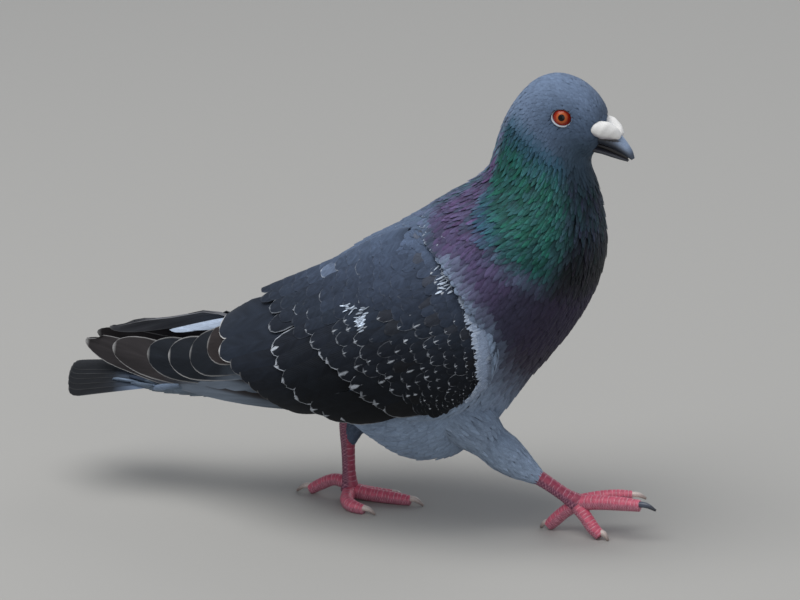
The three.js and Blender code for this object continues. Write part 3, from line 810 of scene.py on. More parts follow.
@dataclass(frozen=True)
class GrainFinish:
    """Bare skin or horn: a colour from the piece's own attribute, with a fine grain of a real size."""

    name: str
    grain_mm: float
    grain_depth: float = 0.15
    roughness: float = 0.5
    bump: float = 0.3
    coat: float = 0.0

    def make(self) -> Material:
        """Builds the material.

        Returns:
            The material.
        """
        material, tree = new_material(self.name)
        tint = add_node(tree, "Attribute", attribute_name="tint")
        place = add_node(tree, "TexCoord").outputs["Object"]
        fineness = 1 / (self.grain_mm * MM)
        grain = add_node(tree, "TexNoise", {"Vector": place, "Scale": fineness, "Detail": 4.0})
        shade = add_node(tree, "MapRange", (grain, 0.3, 0.7, 1 - self.grain_depth, 1 + self.grain_depth))
        colour = add_node(tree, "VectorMath", {0: tint, "Scale": shade}, operation="SCALE")
        rough = add_node(tree, "MapRange", (grain, 0.0, 1.0, self.roughness - 0.1, self.roughness + 0.1))
        relief = add_node(tree, "Bump", {"Height": grain, "Strength": self.bump, "Distance": GRAIN_HEIGHT})
        finish_surface(tree, {
            "Base Color": colour, "Roughness": rough, "Coat Weight": self.coat, "Coat Roughness": 0.2,
            "Normal": relief,
        })
        return material


# ------------------------------------------------------------------ meshes


def smooth(mesh: Mesh) -> None:
    """Makes every face of a mesh look smooth."""
    mesh.polygons.foreach_set("use_smooth", np.ones(len(mesh.polygons), bool))


def mesh_from(name: str, points: Array, corners: Array, sizes: Array) -> Mesh:
    """Makes a mesh from arrays.

    Args:
        name: The mesh's name.
        points: Its points, in metres.
        corners: The points' numbers, face after face.
        sizes: How many corners each face has.

    Returns:
        The mesh.
    """
    mesh = bpy.data.meshes.new(name)
    mesh.vertices.add(len(points))
    mesh.vertices.foreach_set("co", np.ascontiguousarray(points, np.float32).ravel())
    mesh.loops.add(len(corners))
    mesh.loops.foreach_set("vertex_index", np.ascontiguousarray(corners, np.int32))
    mesh.polygons.add(len(sizes))
    starts = np.concatenate([[0], np.cumsum(sizes)[:-1]])
    mesh.polygons.foreach_set("loop_start", starts.astype(np.int32))
    mesh.update(calc_edges=True)
    smooth(mesh)
    return mesh


def paint(mesh: Mesh, name: str, colours: Array) -> None:
    """Gives each point of a mesh a colour, in linear light."""
    layer = mesh.attributes.new(name, "FLOAT_COLOR", "POINT")
    full = np.concatenate([colours, np.ones((len(colours), 1))], axis=1)
    layer.data.foreach_set("color", full.astype(np.float32).ravel())


def finished(mesh: Mesh, name: str, slot: str, material: Material, *nodes: str) -> bpy.types.Object:
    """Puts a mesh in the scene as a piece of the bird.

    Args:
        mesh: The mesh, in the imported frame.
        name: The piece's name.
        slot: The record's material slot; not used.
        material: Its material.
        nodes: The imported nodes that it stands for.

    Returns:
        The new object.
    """
    piece = bpy.data.objects.new(name, mesh)
    bpy.context.scene.collection.objects.link(piece)
    mesh.materials.append(material)
    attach(piece, "root")
    if nodes:
        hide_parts(*nodes)
    LOG.info("%s: %d points, %d faces", name, len(mesh.vertices), len(mesh.polygons))
    return piece


def wrapped_ball(rows: int, sides: int) -> tuple[bmesh.types.BMesh, Array, Array]:
    """A closed ball to be shaped, whose points are known by row and angle.

    Args:
        rows: Rings of points, besides the two poles.
        sides: Points in each ring.

    Returns:
        The ball, and for each of its points the row, from 0 to rows - 1 with -1 and rows at the poles,
        and the angle round it.
    """
    ball = bmesh.new()
    bmesh.ops.create_uvsphere(ball, u_segments=sides, v_segments=rows + 1, radius=1.0)
    places = np.array([vert.co for vert in ball.verts])
    polar = np.arccos(np.clip(places[:, 2], -1, 1))
    row = np.round(polar / math.pi * (rows + 1)) - 1
    angle = np.arctan2(places[:, 1], places[:, 0]) % TAU
    return ball, row, angle


def shaped(name: str, frame: Frame, ball: bmesh.types.BMesh, points: Array) -> Mesh:
    """Moves a ball's points and makes it a smooth mesh.

    Args:
        name: The mesh's name.
        frame: Places it.
        ball: The ball, which is used up.
        points: Where its points go, in millimetres.

    Returns:
        The mesh.
    """
    for vert, point in zip(ball.verts, frame.place(points)):
        vert.co = point
    bmesh.ops.recalc_face_normals(ball, faces=ball.faces)
    mesh = bpy.data.meshes.new(name)
    ball.to_mesh(mesh)
    ball.free()
    smooth(mesh)
    return mesh


def close_poles(points: Array, row: Array, rows: int) -> None:
    """Sets the two poles of a ball in the middle of their nearest rings."""
    for pole, ring in ((-1, 0), (rows, rows - 1)):
        points[row == pole] = points[row == ring].mean(axis=0)


def form_mesh(
    name: str, frame: Frame, surface: Surface, span: tuple[float, float], rows: int, sides: int,
    height: Field | float = 0.0,
) -> tuple[Mesh, Array, Array]:
    """Makes a closed mesh of a form between two of its rings.

    Args:
        name: The mesh's name.
        frame: Places it.
        surface: The form.
        span: The first and the last u.
        rows: Rings of points.
        sides: Points in each ring.
        height: How far outside the form the mesh lies, or a function of u and v that says.

    Returns:
        The mesh, and u and v at each of its points.
    """
    ball, row, angle = wrapped_ball(rows, sides)
    u = span[0] + (span[1] - span[0]) * (np.clip(row, 0, rows - 1) / (rows - 1))
    lift = height(u, angle) if callable(height) else height
    points = surface.raised(u, angle, np.broadcast_to(lift, u.shape))
    close_poles(points, row, rows)
    return shaped(name, frame, ball, points), u, angle


# ------------------------------------------------------------------ feathers


@dataclass(frozen=True)
class Vane:
    """The outline and bend of one kind of feather."""

    rows: int = 6
    columns: int = 5
    root: float = 0.5  # half-width at the root, in half-widths
    widest: float = 0.55  # where it is widest, along its length
    roundness: float = 2.2  # of the tip: more is squarer
    camber: float = 0.3  # how far the edges droop, in half-widths
    thickness: float = 0.22  # millimetres, at the shaft
    frayed: float = 0.012  # how uneven the tip is, in lengths

    def stations(self) -> Array:
        """Places along the length, closer together near the tip."""
        return np.sin(np.linspace(0, math.pi / 2, self.rows))

    def half_widths(self) -> Array:
        """The half-width at each station, in half-widths."""
        along = self.stations()
        rise = self.root + (1 - self.root) * np.sin(np.clip(along / self.widest, 0, 1) * math.pi / 2)
        past = np.clip((along - self.widest) / (1 - self.widest), 0, 1)
        return np.maximum(rise * np.sqrt(1 - past**self.roundness), 0.07)


@dataclass
class Feathers:
    """Where some feathers grow on a form, and how each looks: one entry for each, or one number for all."""

    surface: Surface
    u: Array
    v: Array
    lie: Array  # direction, root to tip
    length: Array | float
    width: Array | float
    tint: Array
    sink: Array | float  # how deep the root lies
    lift: Array | float  # how high the tip stands
    unwrap: Array  # where the root lies on a flat map of the form, two numbers from 0 to 1
    spot: Array | float = 0.0
    edge: Array | float = 0.0
    bow: Array | float = 0.0  # how far the middle of the shaft bends aside

    def __post_init__(self) -> None:
        """Gives each feather its own number where one stands for all."""
        for name in ("length", "width", "sink", "lift", "spot", "edge", "bow"):
            setattr(self, name, getattr(self, name) * np.ones(len(self.u)))


class Coat:
    """One piece of plumage, built up from batches of feathers."""

    PATCH = 0.003  # width of each feather's patch on the map that colours are baked through

    def __init__(self, name: str, frame: Frame, seed: int) -> None:
        """Starts an empty piece.

        Args:
            name: The piece's name.
            frame: Places it.
            seed: Of its random draws.
        """
        self.name = name
        self.frame = frame
        self.random = np.random.default_rng(seed)
        self.parts: list[dict[str, Array]] = []

    def lay(self, feathers: Feathers, vane: Vane) -> None:
        """Lays feathers on their form, each bent to it.

        Args:
            feathers: The feathers.
            vane: Their kind.
        """
        surface, count, shaft = feathers.surface, len(feathers.u), vane.columns // 2
        _, by_u, by_v, normal = surface.frames(feathers.u, feathers.v)
        lie = unit(feathers.lie - normal * np.sum(feathers.lie * normal, axis=-1, keepdims=True))
        side = np.cross(normal, lie)
        along = np.broadcast_to(vane.stations()[None, :, None], (count, vane.rows, vane.columns))
        across = np.broadcast_to(np.linspace(-1, 1, vane.columns), along.shape)
        ramp = np.clip((along - 0.6) / 0.4, 0, 1)
        ragged = self.random.normal(0, 1, along.shape) * vane.frayed * ramp
        reach = (along + ragged) * feathers.length[:, None, None]
        spread = across * vane.half_widths()[None, :, None] * feathers.width[:, None, None] / 2
        bow = feathers.bow[:, None, None] * 4 * along * (1 - along)
        rise = 1 - (1 - np.clip(along, 0, 1)) ** 1.6
        height = -feathers.sink[:, None, None] + (feathers.sink + feathers.lift)[:, None, None] * rise
        height = height - vane.camber * np.abs(spread) * np.abs(across)
        spread = spread + bow
        ridge = (reach[:, :, shaft], spread[:, :, shaft], height[:, :, shaft] - vane.thickness)
        reach, spread, height = (
            np.concatenate([grid, under[:, :, None]], axis=2)
            for grid, under in zip((reach, spread, height), ridge)
        )

        uu = np.sum(by_u * by_u, axis=-1)
        vv = np.sum(by_v * by_v, axis=-1)
        uv = np.sum(by_u * by_v, axis=-1)
        area = np.maximum(uu * vv - uv * uv, 1e-9)
        move_u, move_v = [], []
        for way in (lie, side):
            on_u, on_v = np.sum(way * by_u, axis=-1), np.sum(way * by_v, axis=-1)
            move_u.append(((vv * on_u - uv * on_v) / area)[:, None, None])
            move_v.append(((uu * on_v - uv * on_u) / area)[:, None, None])
        u = feathers.u[:, None, None] + move_u[0] * reach + move_u[1] * spread
        v = feathers.v[:, None, None] + move_v[0] * reach + move_v[1] * spread
        self.keep(surface.raised(u, v, height), vane, feathers)

    def keep(self, points: Array, vane: Vane, feathers: Feathers) -> None:
        """Keeps the points of some vanes, with their marks and maps.

        Args:
            points: One grid of points for each feather, the underside's ridge last in each row.
            vane: Their kind.
            feathers: The feathers.
        """
        count, rows, wide = points.shape[:3]
        index = np.arange(count * rows * wide).reshape(count, rows, wide)
        here, ahead = index[:, :-1], index[:, 1:]
        next_here, next_ahead = np.roll(here, -1, axis=2), np.roll(ahead, -1, axis=2)
        quads = np.stack([here, ahead, next_ahead, next_here], axis=-1).reshape(-1, 4)
        tips = np.concatenate([index[:, -1, :-1][:, ::-1], index[:, -1, -1:]], axis=1)
        roots = index[:, 0]
        across = np.append(np.linspace(0, 1, wide - 1), 0.5)
        along = vane.stations()
        vane_map = np.stack(np.broadcast_arrays(across[None, None, :], along[None, :, None]), axis=-1)
        vane_map = np.broadcast_to(vane_map, (count, rows, wide, 2)).reshape(-1, 2)
        patch = np.repeat(feathers.unwrap, rows * wide, axis=0) + (vane_map - 0.5) * self.PATCH
        marks = np.stack([feathers.spot, feathers.edge, self.random.random(count)], axis=-1)
        tint = feathers.tint
        if tint.ndim == 2:
            tint = np.broadcast_to(tint[:, None, None], (count, rows, wide, 3))
        self.parts.append({
            "points": points.reshape(-1, 3), "quads": quads, "caps": np.concatenate([tips, roots]),
            "vane": vane_map, "patch": patch,
            "tint": tint.reshape(-1, 3),
            "mark": np.repeat(marks, rows * wide, axis=0),
        })

    def build(self, slot: str, material: Material, *nodes: str) -> bpy.types.Object:
        """Joins what was laid into one mesh.

        Args:
            slot: The record's material slot.
            material: Its material.
            nodes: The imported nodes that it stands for.

        Returns:
            The piece.
        """
        corners, sizes, start = [], [], 0
        for part in self.parts:
            for faces in (part["quads"], part["caps"]):
                corners.append((faces + start).ravel())
                sizes.append(np.full(len(faces), faces.shape[1]))
            start += len(part["points"])
        corners, sizes = np.concatenate(corners), np.concatenate(sizes)
        points, vane, patch, tint, mark = (
            np.concatenate([part[key] for part in self.parts])
            for key in ("points", "vane", "patch", "tint", "mark")
        )
        mesh = mesh_from(self.name, self.frame.place(points), corners, sizes)
        for name, places in (("Vane", vane), ("OFBake", patch)):
            layer = mesh.uv_layers.new(name=name)
            layer.uv.foreach_set("vector", places[corners].astype(np.float32).ravel())
        paint(mesh, "tint", tint)
        paint(mesh, "mark", mark)
        mesh.set_sharp_from_angle(angle=math.radians(70))
        return finished(mesh, self.name, slot, material, *nodes)


def scatter(
    surface: Surface, u_span: tuple[float, float], v_span: tuple[float, float], spacing: Field,
    random: np.random.Generator, within: Field | None = None,
) -> tuple[Array, Array]:
    """Finds places spread evenly over a form, each at least its own spacing from the others.

    Args:
        surface: The form.
        u_span: The lowest and the highest u.
        v_span: The lowest and the highest v.
        spacing: A function of u and v that gives the spacing in millimetres.
        random: The random draws.
        within: A function of u and v that says where places may lie.

    Returns:
        u and v of each place.
    """

    def density(u: Array, v: Array) -> Array:
        """How many places a step of u and v has room for."""
        _, by_u, by_v, _ = surface.frames(u, v)
        return np.linalg.norm(np.cross(by_u, by_v), axis=-1) / spacing(u, v) ** 2

    room = density(*np.meshgrid(np.linspace(*u_span, 60), np.linspace(*v_span, 60), indexing="ij"))
    area = room.mean() * (u_span[1] - u_span[0]) * (v_span[1] - v_span[0])
    tries = int(area * 9 * room.max() / room.mean())
    u = random.uniform(*u_span, tries)
    v = random.uniform(*v_span, tries)
    chosen = random.random(tries) < density(u, v) / room.max()
    if within is not None:
        chosen &= within(u, v)
    u, v = u[chosen], v[chosen]
    points, gaps = surface.point(u, v), spacing(u, v) + 0 * u
    tree = search_tree(points)
    free = np.ones(len(points), bool)
    kept = []
    for index in range(len(points)):
        if free[index]:
            kept.append(index)
            for _, other, _ in tree.find_range(points[index], gaps[index]):
                free[other] = False
    return u[kept], v[kept]


def on_tube(along: Array, angle: Array) -> Array:
    """Where places on a rounded form lie on a flat map of it, from their shares along it and angles."""
    return np.stack([0.02 + along, 0.02 + 0.96 * angle / TAU], axis=-1)


# ------------------------------------------------------------------ plumage


@dataclass(frozen=True)
class Plumage:
    """The colours of a dark chequered feral pigeon, by place."""

    crown: str = "#6a7b94"
    cheek: str = "#52637a"
    throat: str = "#3b4b5b"
    mask: str = "#4b596c"
    green: str = "#265a55"
    teal: str = "#33566a"
    foreneck: str = "#2d3d4a"
    bosom: str = "#1c1f26"
    breast: str = "#35313f"
    purple: str = "#524667"
    purple_shade: str = "#302b3f"
    mantle: str = "#57667d"
    shoulder: str = "#3b4556"
    belly: str = "#8394ab"
    vent: str = "#64717f"
    rump: str = "#a6b3c5"
    border: str = "#8a98ae"  # the breast's side, over the wing's front edge
    frayed: str = "#b3bfce"
    edge_band: str = "#4c596d"  # where the wing's upper edge catches the light
    worn: str = "#6d7b92"  # a few scapulars
    # Coverts by how high they lie: [height, colour].
    heights: tuple[tuple[float, str], ...] = (
        (56, "#0b0e12"), (70, "#10141a"), (82, "#151920"), (94, "#1b2029"), (102, "#232a35"),
        (110, "#2c3442"), (118, "#343d4d"), (126, "#3f4a5d"), (134, "#4b586e"), (144, "#60708b"),
    )

    def body(self, u: Array, v: Array) -> Array:
        """Colours over the rungs of the body.

        Args:
            u: Rungs.
            v: Angles from the back.

        Returns:
            A colour for each place.
        """
        down = np.degrees(np.arccos(np.cos(v)))
        front = fade(down, 100, 140)
        # The green ends at one line round the neck; the purple lies between it and the next.
        green_end = np.interp(down, [30, 36, 40, 54, 74, 92, 115], [8.6, 10.3, 10.9, 11.6, 12.3, 12.7, 12.9])
        purple_end = np.interp(down, [15, 29, 52, 74, 96, 116], [12.7, 13.05, 13.4, 13.95, 14.5, 15.0])
        angles = [57, 84, 104, 124, 140, 160, 180]
        pale_start = np.interp(down, angles, [13.6, 14.25, 14.9, 15.6, 16.1, 16.5, 16.7])
        green = fade(u, 5.9, 7.4) * (1 - fade(u, green_end - 0.3, green_end + 0.3)) * fade(down, 28, 40)
        green = green * (1 - fade(down, 116, 140))
        from_teal = 1 - 0.8 * fade(u, green_end - 1.0, green_end) * (1 - 0.8 * fade(down, 58, 90))
        green_hue = blend(linear(self.teal), linear(self.green), fade(u, 6.8, 9.0) * from_teal)
        rim = fade(u, green_end - 0.4, green_end) * (1 - fade(u, green_end + 0.7, green_end + 1.2))
        band = fade(u, green_end + 0.1, green_end + 0.9) * (1 - fade(u, purple_end + 0.2, purple_end + 0.8))
        purple_hue = blend(linear(self.purple), linear(self.purple_shade), fade(down, 84, 118))
        pale = fade(u, pale_start - 0.5, pale_start + 0.9 + 0.6 * fade(down, 105, 150))
        strip = fade(u, 23.0, 24.0) * (1 - fade(u, 25.0, 26.0))
        # The head is lighter on the crown and darker at the throat: partly its own colour, partly painted
        # light from above and painted shade beneath.
        colour = blend(linear(self.crown), linear(self.cheek), fade(down, 35, 90))
        for over, share in (
            (linear(self.throat), fade(down, 92, 135)),
            (linear(self.mask), 0.6 * (1 - fade(u, 0.5, 2.2))),
            (linear(self.foreneck), fade(u, 5.0, 7.5) * front),
            (linear(self.bosom), fade(u, 10.0, 12.4) * front),
            (linear(self.breast), fade(u, 12.4, 15.4) * front),
            (linear(self.mantle), fade(u, 8.5, 11.0) * (1 - front)),
            (linear(self.shoulder), fade(u, 12.0, 14.5) * (1 - front) * fade(down, 18, 45)),
            (green_hue, green),
            (linear(self.teal), rim * fade(down, 36, 50) * (1 - fade(down, 62, 92))),
            (purple_hue, 0.85 * band * fade(down, 8, 24)),
            (linear(self.belly), pale * fade(down, 52, 62)),
            (linear(self.vent), fade(u, 22.5, 25.0) * fade(down, 80, 110)),
            (linear(self.shoulder), fade(u, 24.0, 26.0) * (1 - fade(down, 70, 95))),
            (linear(self.rump), strip * (1 - fade(down, 62, 95))),
        ):
            colour = blend(colour, over, share)
        return colour

    def wing(self, height: Array, from_top: Array, x: Array) -> Array:
        """Colours of the wing's coverts, a little paler towards the tail.

        Args:
            height: How high they lie.
            from_top: How far under the wing's upper edge.
            x: How far forwards they lie.

        Returns:
            A colour for each.
        """
        levels = [level for level, _ in self.heights]
        shades = np.array([linear(shade) for _, shade in self.heights])
        colour = np.stack([np.interp(height, levels, column) for column in shades.T], axis=-1)
        colour = colour * (1.22 - 0.34 * fade(x, -15, 55))[..., None]
        return blend(colour, linear(self.edge_band), 0.6 * (1 - fade(from_top, 1, 8)) * fade(x, -30, 10))


def varied(colour: Array, random: np.random.Generator, spread: float = 0.1) -> Array:
    """Colours made a little lighter or darker, each by its own amount."""
    return colour * np.exp(random.normal(0, spread, len(colour)))[:, None]


def many(colour: str | Array, count: int, random: np.random.Generator, spread: float) -> Array:
    """One colour for many feathers, varied."""
    shade = linear(colour) if isinstance(colour, str) else colour
    return varied(np.broadcast_to(shade, (count, 3)), random, spread)


# How body feathers change down the bird: [rung, then spacing, length and width on the back, then on the
# belly, then how far their tips stand out].
FEATHER_SIZES = [
    [0, 0.75, 1.8, 1, 0.75, 1.8, 1, 0.03],
    [2, 0.9, 2.7, 1.3, 0.9, 2.6, 1.3, 0.05],
    [4.5, 1.05, 3.6, 1.7, 1.05, 3.4, 1.6, 0.06],
    [6.5, 1.3, 5.2, 2, 1.3, 5, 2, 0.2],
    [9, 1.65, 7.6, 2.6, 1.7, 7.5, 2.7, 0.5],
    [11.5, 1.8, 8.6, 2.7, 1.8, 8.4, 2.8, 0.45],
    [13.5, 2.4, 10, 4.4, 2.1, 9, 3.4, 0.3],
    [16, 3.8, 14, 8, 2.7, 10.5, 4.6, 0.35],
    [19, 4.4, 16, 9, 3.2, 12, 5.6, 0.4],
    [24, 4.6, 18, 9, 3.8, 14, 7.4, 0.5],
    [28, 4.4, 17, 8.6, 4.2, 16, 8, 0.4],
]


def feather_sizes(u: Array, v: Array) -> tuple[Array, ...]:
    """Spacing, length, width and lift of the body's feathers, by place."""
    table = np.array(FEATHER_SIZES)
    columns = [np.interp(u, table[:, 0], column) for column in table[:, 1:].T]
    share = fade(np.arccos(np.cos(v)), 0.9, 1.8)
    sizes = [columns[k] + (columns[k + 3] - columns[k]) * share for k in range(3)]
    return (*sizes, columns[6])


@dataclass(frozen=True)
class Tract:
    """One tract of body feathers."""

    name: str
    slot: str
    rungs: tuple[float, float]
    down: tuple[float, float]  # degrees from the back
    vane: Vane
    seed: int
    edge: float = 0.0
    flecks: float = 0.0  # share of feathers with a pale fleck on the tip


HEAD_VANE = Vane(rows=4, columns=3, root=0.6, widest=0.5, roundness=1.6, camber=0.08, thickness=0.05)
NECK_VANE = Vane(rows=5, columns=3, root=0.6, widest=0.4, roundness=1.3, camber=0.35, thickness=0.16)
BREAST_VANE = Vane(rows=5, columns=5, root=0.6, widest=0.5, roundness=1.7, camber=0.3, thickness=0.16)
BODY_VANE = Vane(rows=6, columns=5, root=0.55, widest=0.6, roundness=2.4, camber=0.25)

TRACTS = (
    Tract("feathers_head", "plumage_head", (0.2, 6.6), (0, 180), HEAD_VANE, 11),
    Tract("feathers_neck", "plumage_neck", (6.4, 12.9), (0, 180), NECK_VANE, 12),
    Tract("feathers_breast", "plumage_trunk", (12.7, 19.0), (62, 180), BREAST_VANE, 13),
    Tract("feathers_belly", "plumage_trunk", (18.8, 24.5), (58, 180), BREAST_VANE, 14),
    Tract("feathers_mantle", "plumage_trunk", (12.7, 20.0), (0, 66), BODY_VANE, 15, 0.12, 0.12),
    Tract("feathers_rump", "plumage_rump", (19.8, 24.2), (0, 62), BODY_VANE, 16),
    Tract("feathers_vent", "plumage_rump", (24.2, 27.6), (104, 180), BODY_VANE, 17),
)


@dataclass(frozen=True)
class BodyCoat:
    """The feathers of the head, neck, trunk and rump."""

    frame: Frame
    colours: Plumage
    materials: dict[str, Material]
    body: Rungs = Rungs(RUNGS)

    def lie(self, u: Array, v: Array) -> Array:
        """Which way the feathers point: tailwards, and swept further back on the sides of the neck."""
        _, by_u, _, _ = self.body.frames(u, v)
        sweep = 0.5 * np.abs(np.sin(v)) * fade(u, 5.0, 7.5) * (1 - fade(u, 11.0, 13.5))
        return unit(by_u) + sweep[..., None] * np.array([-1.0, 0.0, 0.0])

    def clear(self, points: Array) -> Array:
        """Whether points of the head are clear of the eyes and the bill."""
        mirrored = on_left(points)
        at_bill = (mirrored[..., 0] > BILL_ROOT[0]) & (mirrored[..., 1] < BILL_ROOT[1])
        at_bill &= (mirrored[..., 2] > BILL_ROOT[2]) & (mirrored[..., 2] < BILL_ROOT[3])
        return (EYE.across(mirrored) > 1.06) & ~at_bill & ~CERE.holds(mirrored, 0.2)

    def bare(self, points: Array, margin: float = 1.0) -> Array:
        """Whether points of the trunk lie behind a folded wing, further in than a margin."""
        hidden = np.zeros(points.shape[:-1], bool)
        for side in Side:
            hidden |= WingFace(WING_STATIONS, side).covers(points, margin)
            hidden |= WingFace(PRIMARY_STATIONS, side).covers(points, margin)
        return hidden

    def build(self) -> None:
        """Lays every tract, and the pale rump."""
        for tract in TRACTS:
            self.lay(tract)
        self.pale_rump()

    def pale_rump(self) -> None:
        """Lays the pale feathers that stand up between the folded wings' tips."""
        coat = Coat("feathers_rump_pale", self.frame, 18)
        x, y = np.meshgrid(np.linspace(-50, -68, 7), np.linspace(-7.0, 7.0, 6), indexing="ij")
        x = (x + coat.random.normal(0, 1, x.shape)).ravel()
        y = (y + coat.random.normal(0, 0.5, y.shape)).ravel()
        y = y * (1 + (x + 50) / 40)
        tip = np.stack([x - 18, y * 0.2], axis=1)
        tint = many(self.colours.rump, len(x), coat.random, 0.06)
        root = np.stack([x, y], axis=1)
        coat.lay(between(RumpTop(), root, tip, 5.5, tint, sink=0.6, lift=0.4, edge=0.1), BODY_VANE)
        coat.build("plumage_rump", self.materials["plumage_rump"])

    def lay(self, tract: Tract) -> None:
        """Lays one tract.

        Args:
            tract: The tract.
        """
        coat = Coat(tract.name, self.frame, tract.seed)
        random = coat.random
        low, high = np.radians(tract.down)

        def within(u: Array, v: Array) -> Array:
            """Whether the tract's feathers grow at these places."""
            down, here = np.arccos(np.cos(v)), self.body.point(u, v)
            return (down >= low) & (down <= high) & self.clear(here) & ~self.bare(here)

        u, v = scatter(self.body, tract.rungs, (0, TAU), lambda u, v: feather_sizes(u, v)[0], random, within)
        _, length, width, lift = feather_sizes(u, v)
        length = length * random.uniform(0.85, 1.15, len(u))
        lie = self.lie(u, v)
        lie = lie + random.normal(0, 0.05, lie.shape)
        reach = self.reach(self.body.point(u, v), unit(lie), length)
        _, by_u, by_v, _ = self.body.frames(u, v)
        shown = unit(lie) * (0.6 * length * reach)[:, None]  # the part near the tip is what shows
        there_u = u + np.sum(shown * by_u, axis=-1) / np.sum(by_u * by_u, axis=-1)
        there_v = v + np.sum(shown * by_v, axis=-1) / np.maximum(np.sum(by_v * by_v, axis=-1), 1.0)
        tint = self.colours.body(there_u + random.normal(0, 0.08, len(u)), there_v)
        on_neck = fade(u, 6.5, 8.0) * (1 - fade(u, 13.0, 14.0))
        tint = varied(tint, random, 0.05 + 0.04 * tract.edge)
        tint = tint * (1 + on_neck * random.uniform(-0.25, 0.25, len(u)))[:, None]
        iris = on_neck * (1 - 0.65 * fade(there_u, 12.3, 13.2))
        hue = (iris * random.uniform(-1, 1, len(u)))[:, None] * np.array([0.35, -0.06, 0.16])
        on_head = 1 - fade(u, 5.2, 6.6)
        tint = tint * (1 + hue) * (1 + on_head * random.uniform(-0.09, 0.11, len(u)))[:, None]
        # Locks of the neck's feathers lie together, with clefts between them: the raised locks get a painted
        # highlight and the clefts painted shade.
        lock = np.sin(9 * v + 2.3 * np.sin(3 * u + v)) * np.sin(5 * v - 4 * u)
        cleft = fade(u, 6.5, 8.5) * (1 - fade(u, 11.5, 13.5)) * lock
        tint = tint * (1 + 0.24 * cleft)[:, None]
        down = np.degrees(np.arccos(np.cos(v)))
        often = (there_u > 13.4) & (there_u < 15.6) & (down > 14) & (down < 44)
        flecked = random.random(len(u)) < tract.flecks * (1 + 3.5 * often)
        fleck = random.uniform(0.05, 0.12 + 0.12 * often, len(u))
        coat.lay(
            Feathers(
                surface=self.body, u=u, v=v, lie=lie, length=length * reach, width=width * (1 - 0.2 * cleft),
                tint=tint, spot=np.where(flecked, fleck, 0), edge=np.where(flecked, 0.7, tract.edge),
                sink=(0.25 + 0.16 * width) * (0.45 + 0.55 * fade(u, 4.5, 7.0)),
                lift=lift * (random.uniform(-0.6, 0.7, len(u)) + 0.7 * cleft),
                unwrap=on_tube(0.96 * u / len(RUNGS), v),
            ),
            tract.vane,
        )
        coat.build(tract.slot, self.materials[tract.slot])

    def reach(self, root: Array, way: Array, length: Array) -> Array:
        """How much of its length each feather keeps, so that it stays clear of the bare parts and the wings.

        Args:
            root: The feathers' roots.
            way: Their directions.
            length: Their whole lengths.

        Returns:
            A share for each.
        """
        kept = np.ones(len(root))
        for share in (0.85, 0.7, 0.55, 0.4):
            blocked = self.bare(root + way * (length * kept)[:, None], 4.5)
            for part in (1.0, 0.66, 0.33):
                blocked |= ~self.clear(root + way * (length * kept * part)[:, None])
            kept = np.where(blocked, share, kept)
        return kept


def wing_pad(side: Side) -> Limb:
    """The form of the pad in front of one wing."""
    return Limb([[x, out * side.value, z, radius] for x, out, z, radius in WING_PAD])


@dataclass(frozen=True)
class PadCoat:
    """The feathers of the breast's side, into which a folded wing's front edge sinks."""

    side: Side
    frame: Frame
    colours: Plumage
    material: Material

    def build(self) -> None:
        """Lays the feathers."""
        pad = wing_pad(self.side)
        last = len(WING_PAD) - 1
        coat = Coat(f"feathers_flank_{self.side.word}", self.frame, 61 if self.side is Side.LEFT else 62)
        u, v = scatter(pad, (0.1, last - 0.1), (0, TAU), lambda u, v: 2.0 + 0 * u, coat.random)
        tint = many(self.colours.belly, len(u), coat.random, 0.07)
        lie = np.array([-1.0, 0.0, -0.5]) + coat.random.normal(0, 0.1, (len(u), 3))
        coat.lay(
            Feathers(
                surface=pad, u=u, v=v, lie=lie, length=6.5, width=2.8, tint=tint, edge=0.1, sink=0.4,
                lift=0.1, unwrap=on_tube(0.94 * u / last, v),
            ),
            NECK_VANE,
        )
        coat.build("plumage_trunk", self.material)


@dataclass(frozen=True)
class ThighCoat:
    """The feathers of one thigh and shin, down to the bare leg."""

    side: Side
    frame: Frame
    material: Material
    # far is the near colour darkened as painted shade, for the thigh that lies in the body's shadow.
    near: str = "#8a9bb1"
    far: str = "#4e5b6e"

    def build(self) -> None:
        """Lays the feathers."""
        limb = Limb(LEGS[self.side.word]["thigh"])
        last = len(limb.line) - 1
        coat = Coat(f"feathers_thigh_{self.side.word}", self.frame, 21 if self.side is Side.LEFT else 22)
        random = coat.random
        u, v = scatter(limb, (0.0, last + 0.05), (0, TAU), lambda u, v: 2.0 - 0.9 * u / last, random)
        _, by_u, _, _ = limb.frames(u, v)
        share = u / last
        colour = linear(self.near if self.side is Side.RIGHT else self.far)
        # Darker near the body and lighter towards the ankle: painted shade under the wing.
        tint = varied(np.broadcast_to(colour, (len(u), 3)) * (0.92 + 0.3 * share**2)[:, None], random, 0.09)
        coat.lay(
            Feathers(
                surface=limb, u=u, v=v, lie=unit(by_u) + random.normal(0, 0.07, by_u.shape),
                length=8.0 - 4.0 * share, width=2.7 - 1.2 * share, tint=tint,
                edge=np.where(random.random(len(u)) < 0.4, 0.5, 0.1), sink=0.4 - 0.15 * share,
                lift=0.1 + random.uniform(-0.08, 0.1, len(u)), unwrap=on_tube(0.94 * share, v),
            ),
            Vane(rows=5, columns=3, root=0.6, widest=0.5, roundness=1.4, camber=0.18, thickness=0.12),
        )
        coat.build("plumage_thigh", self.material)


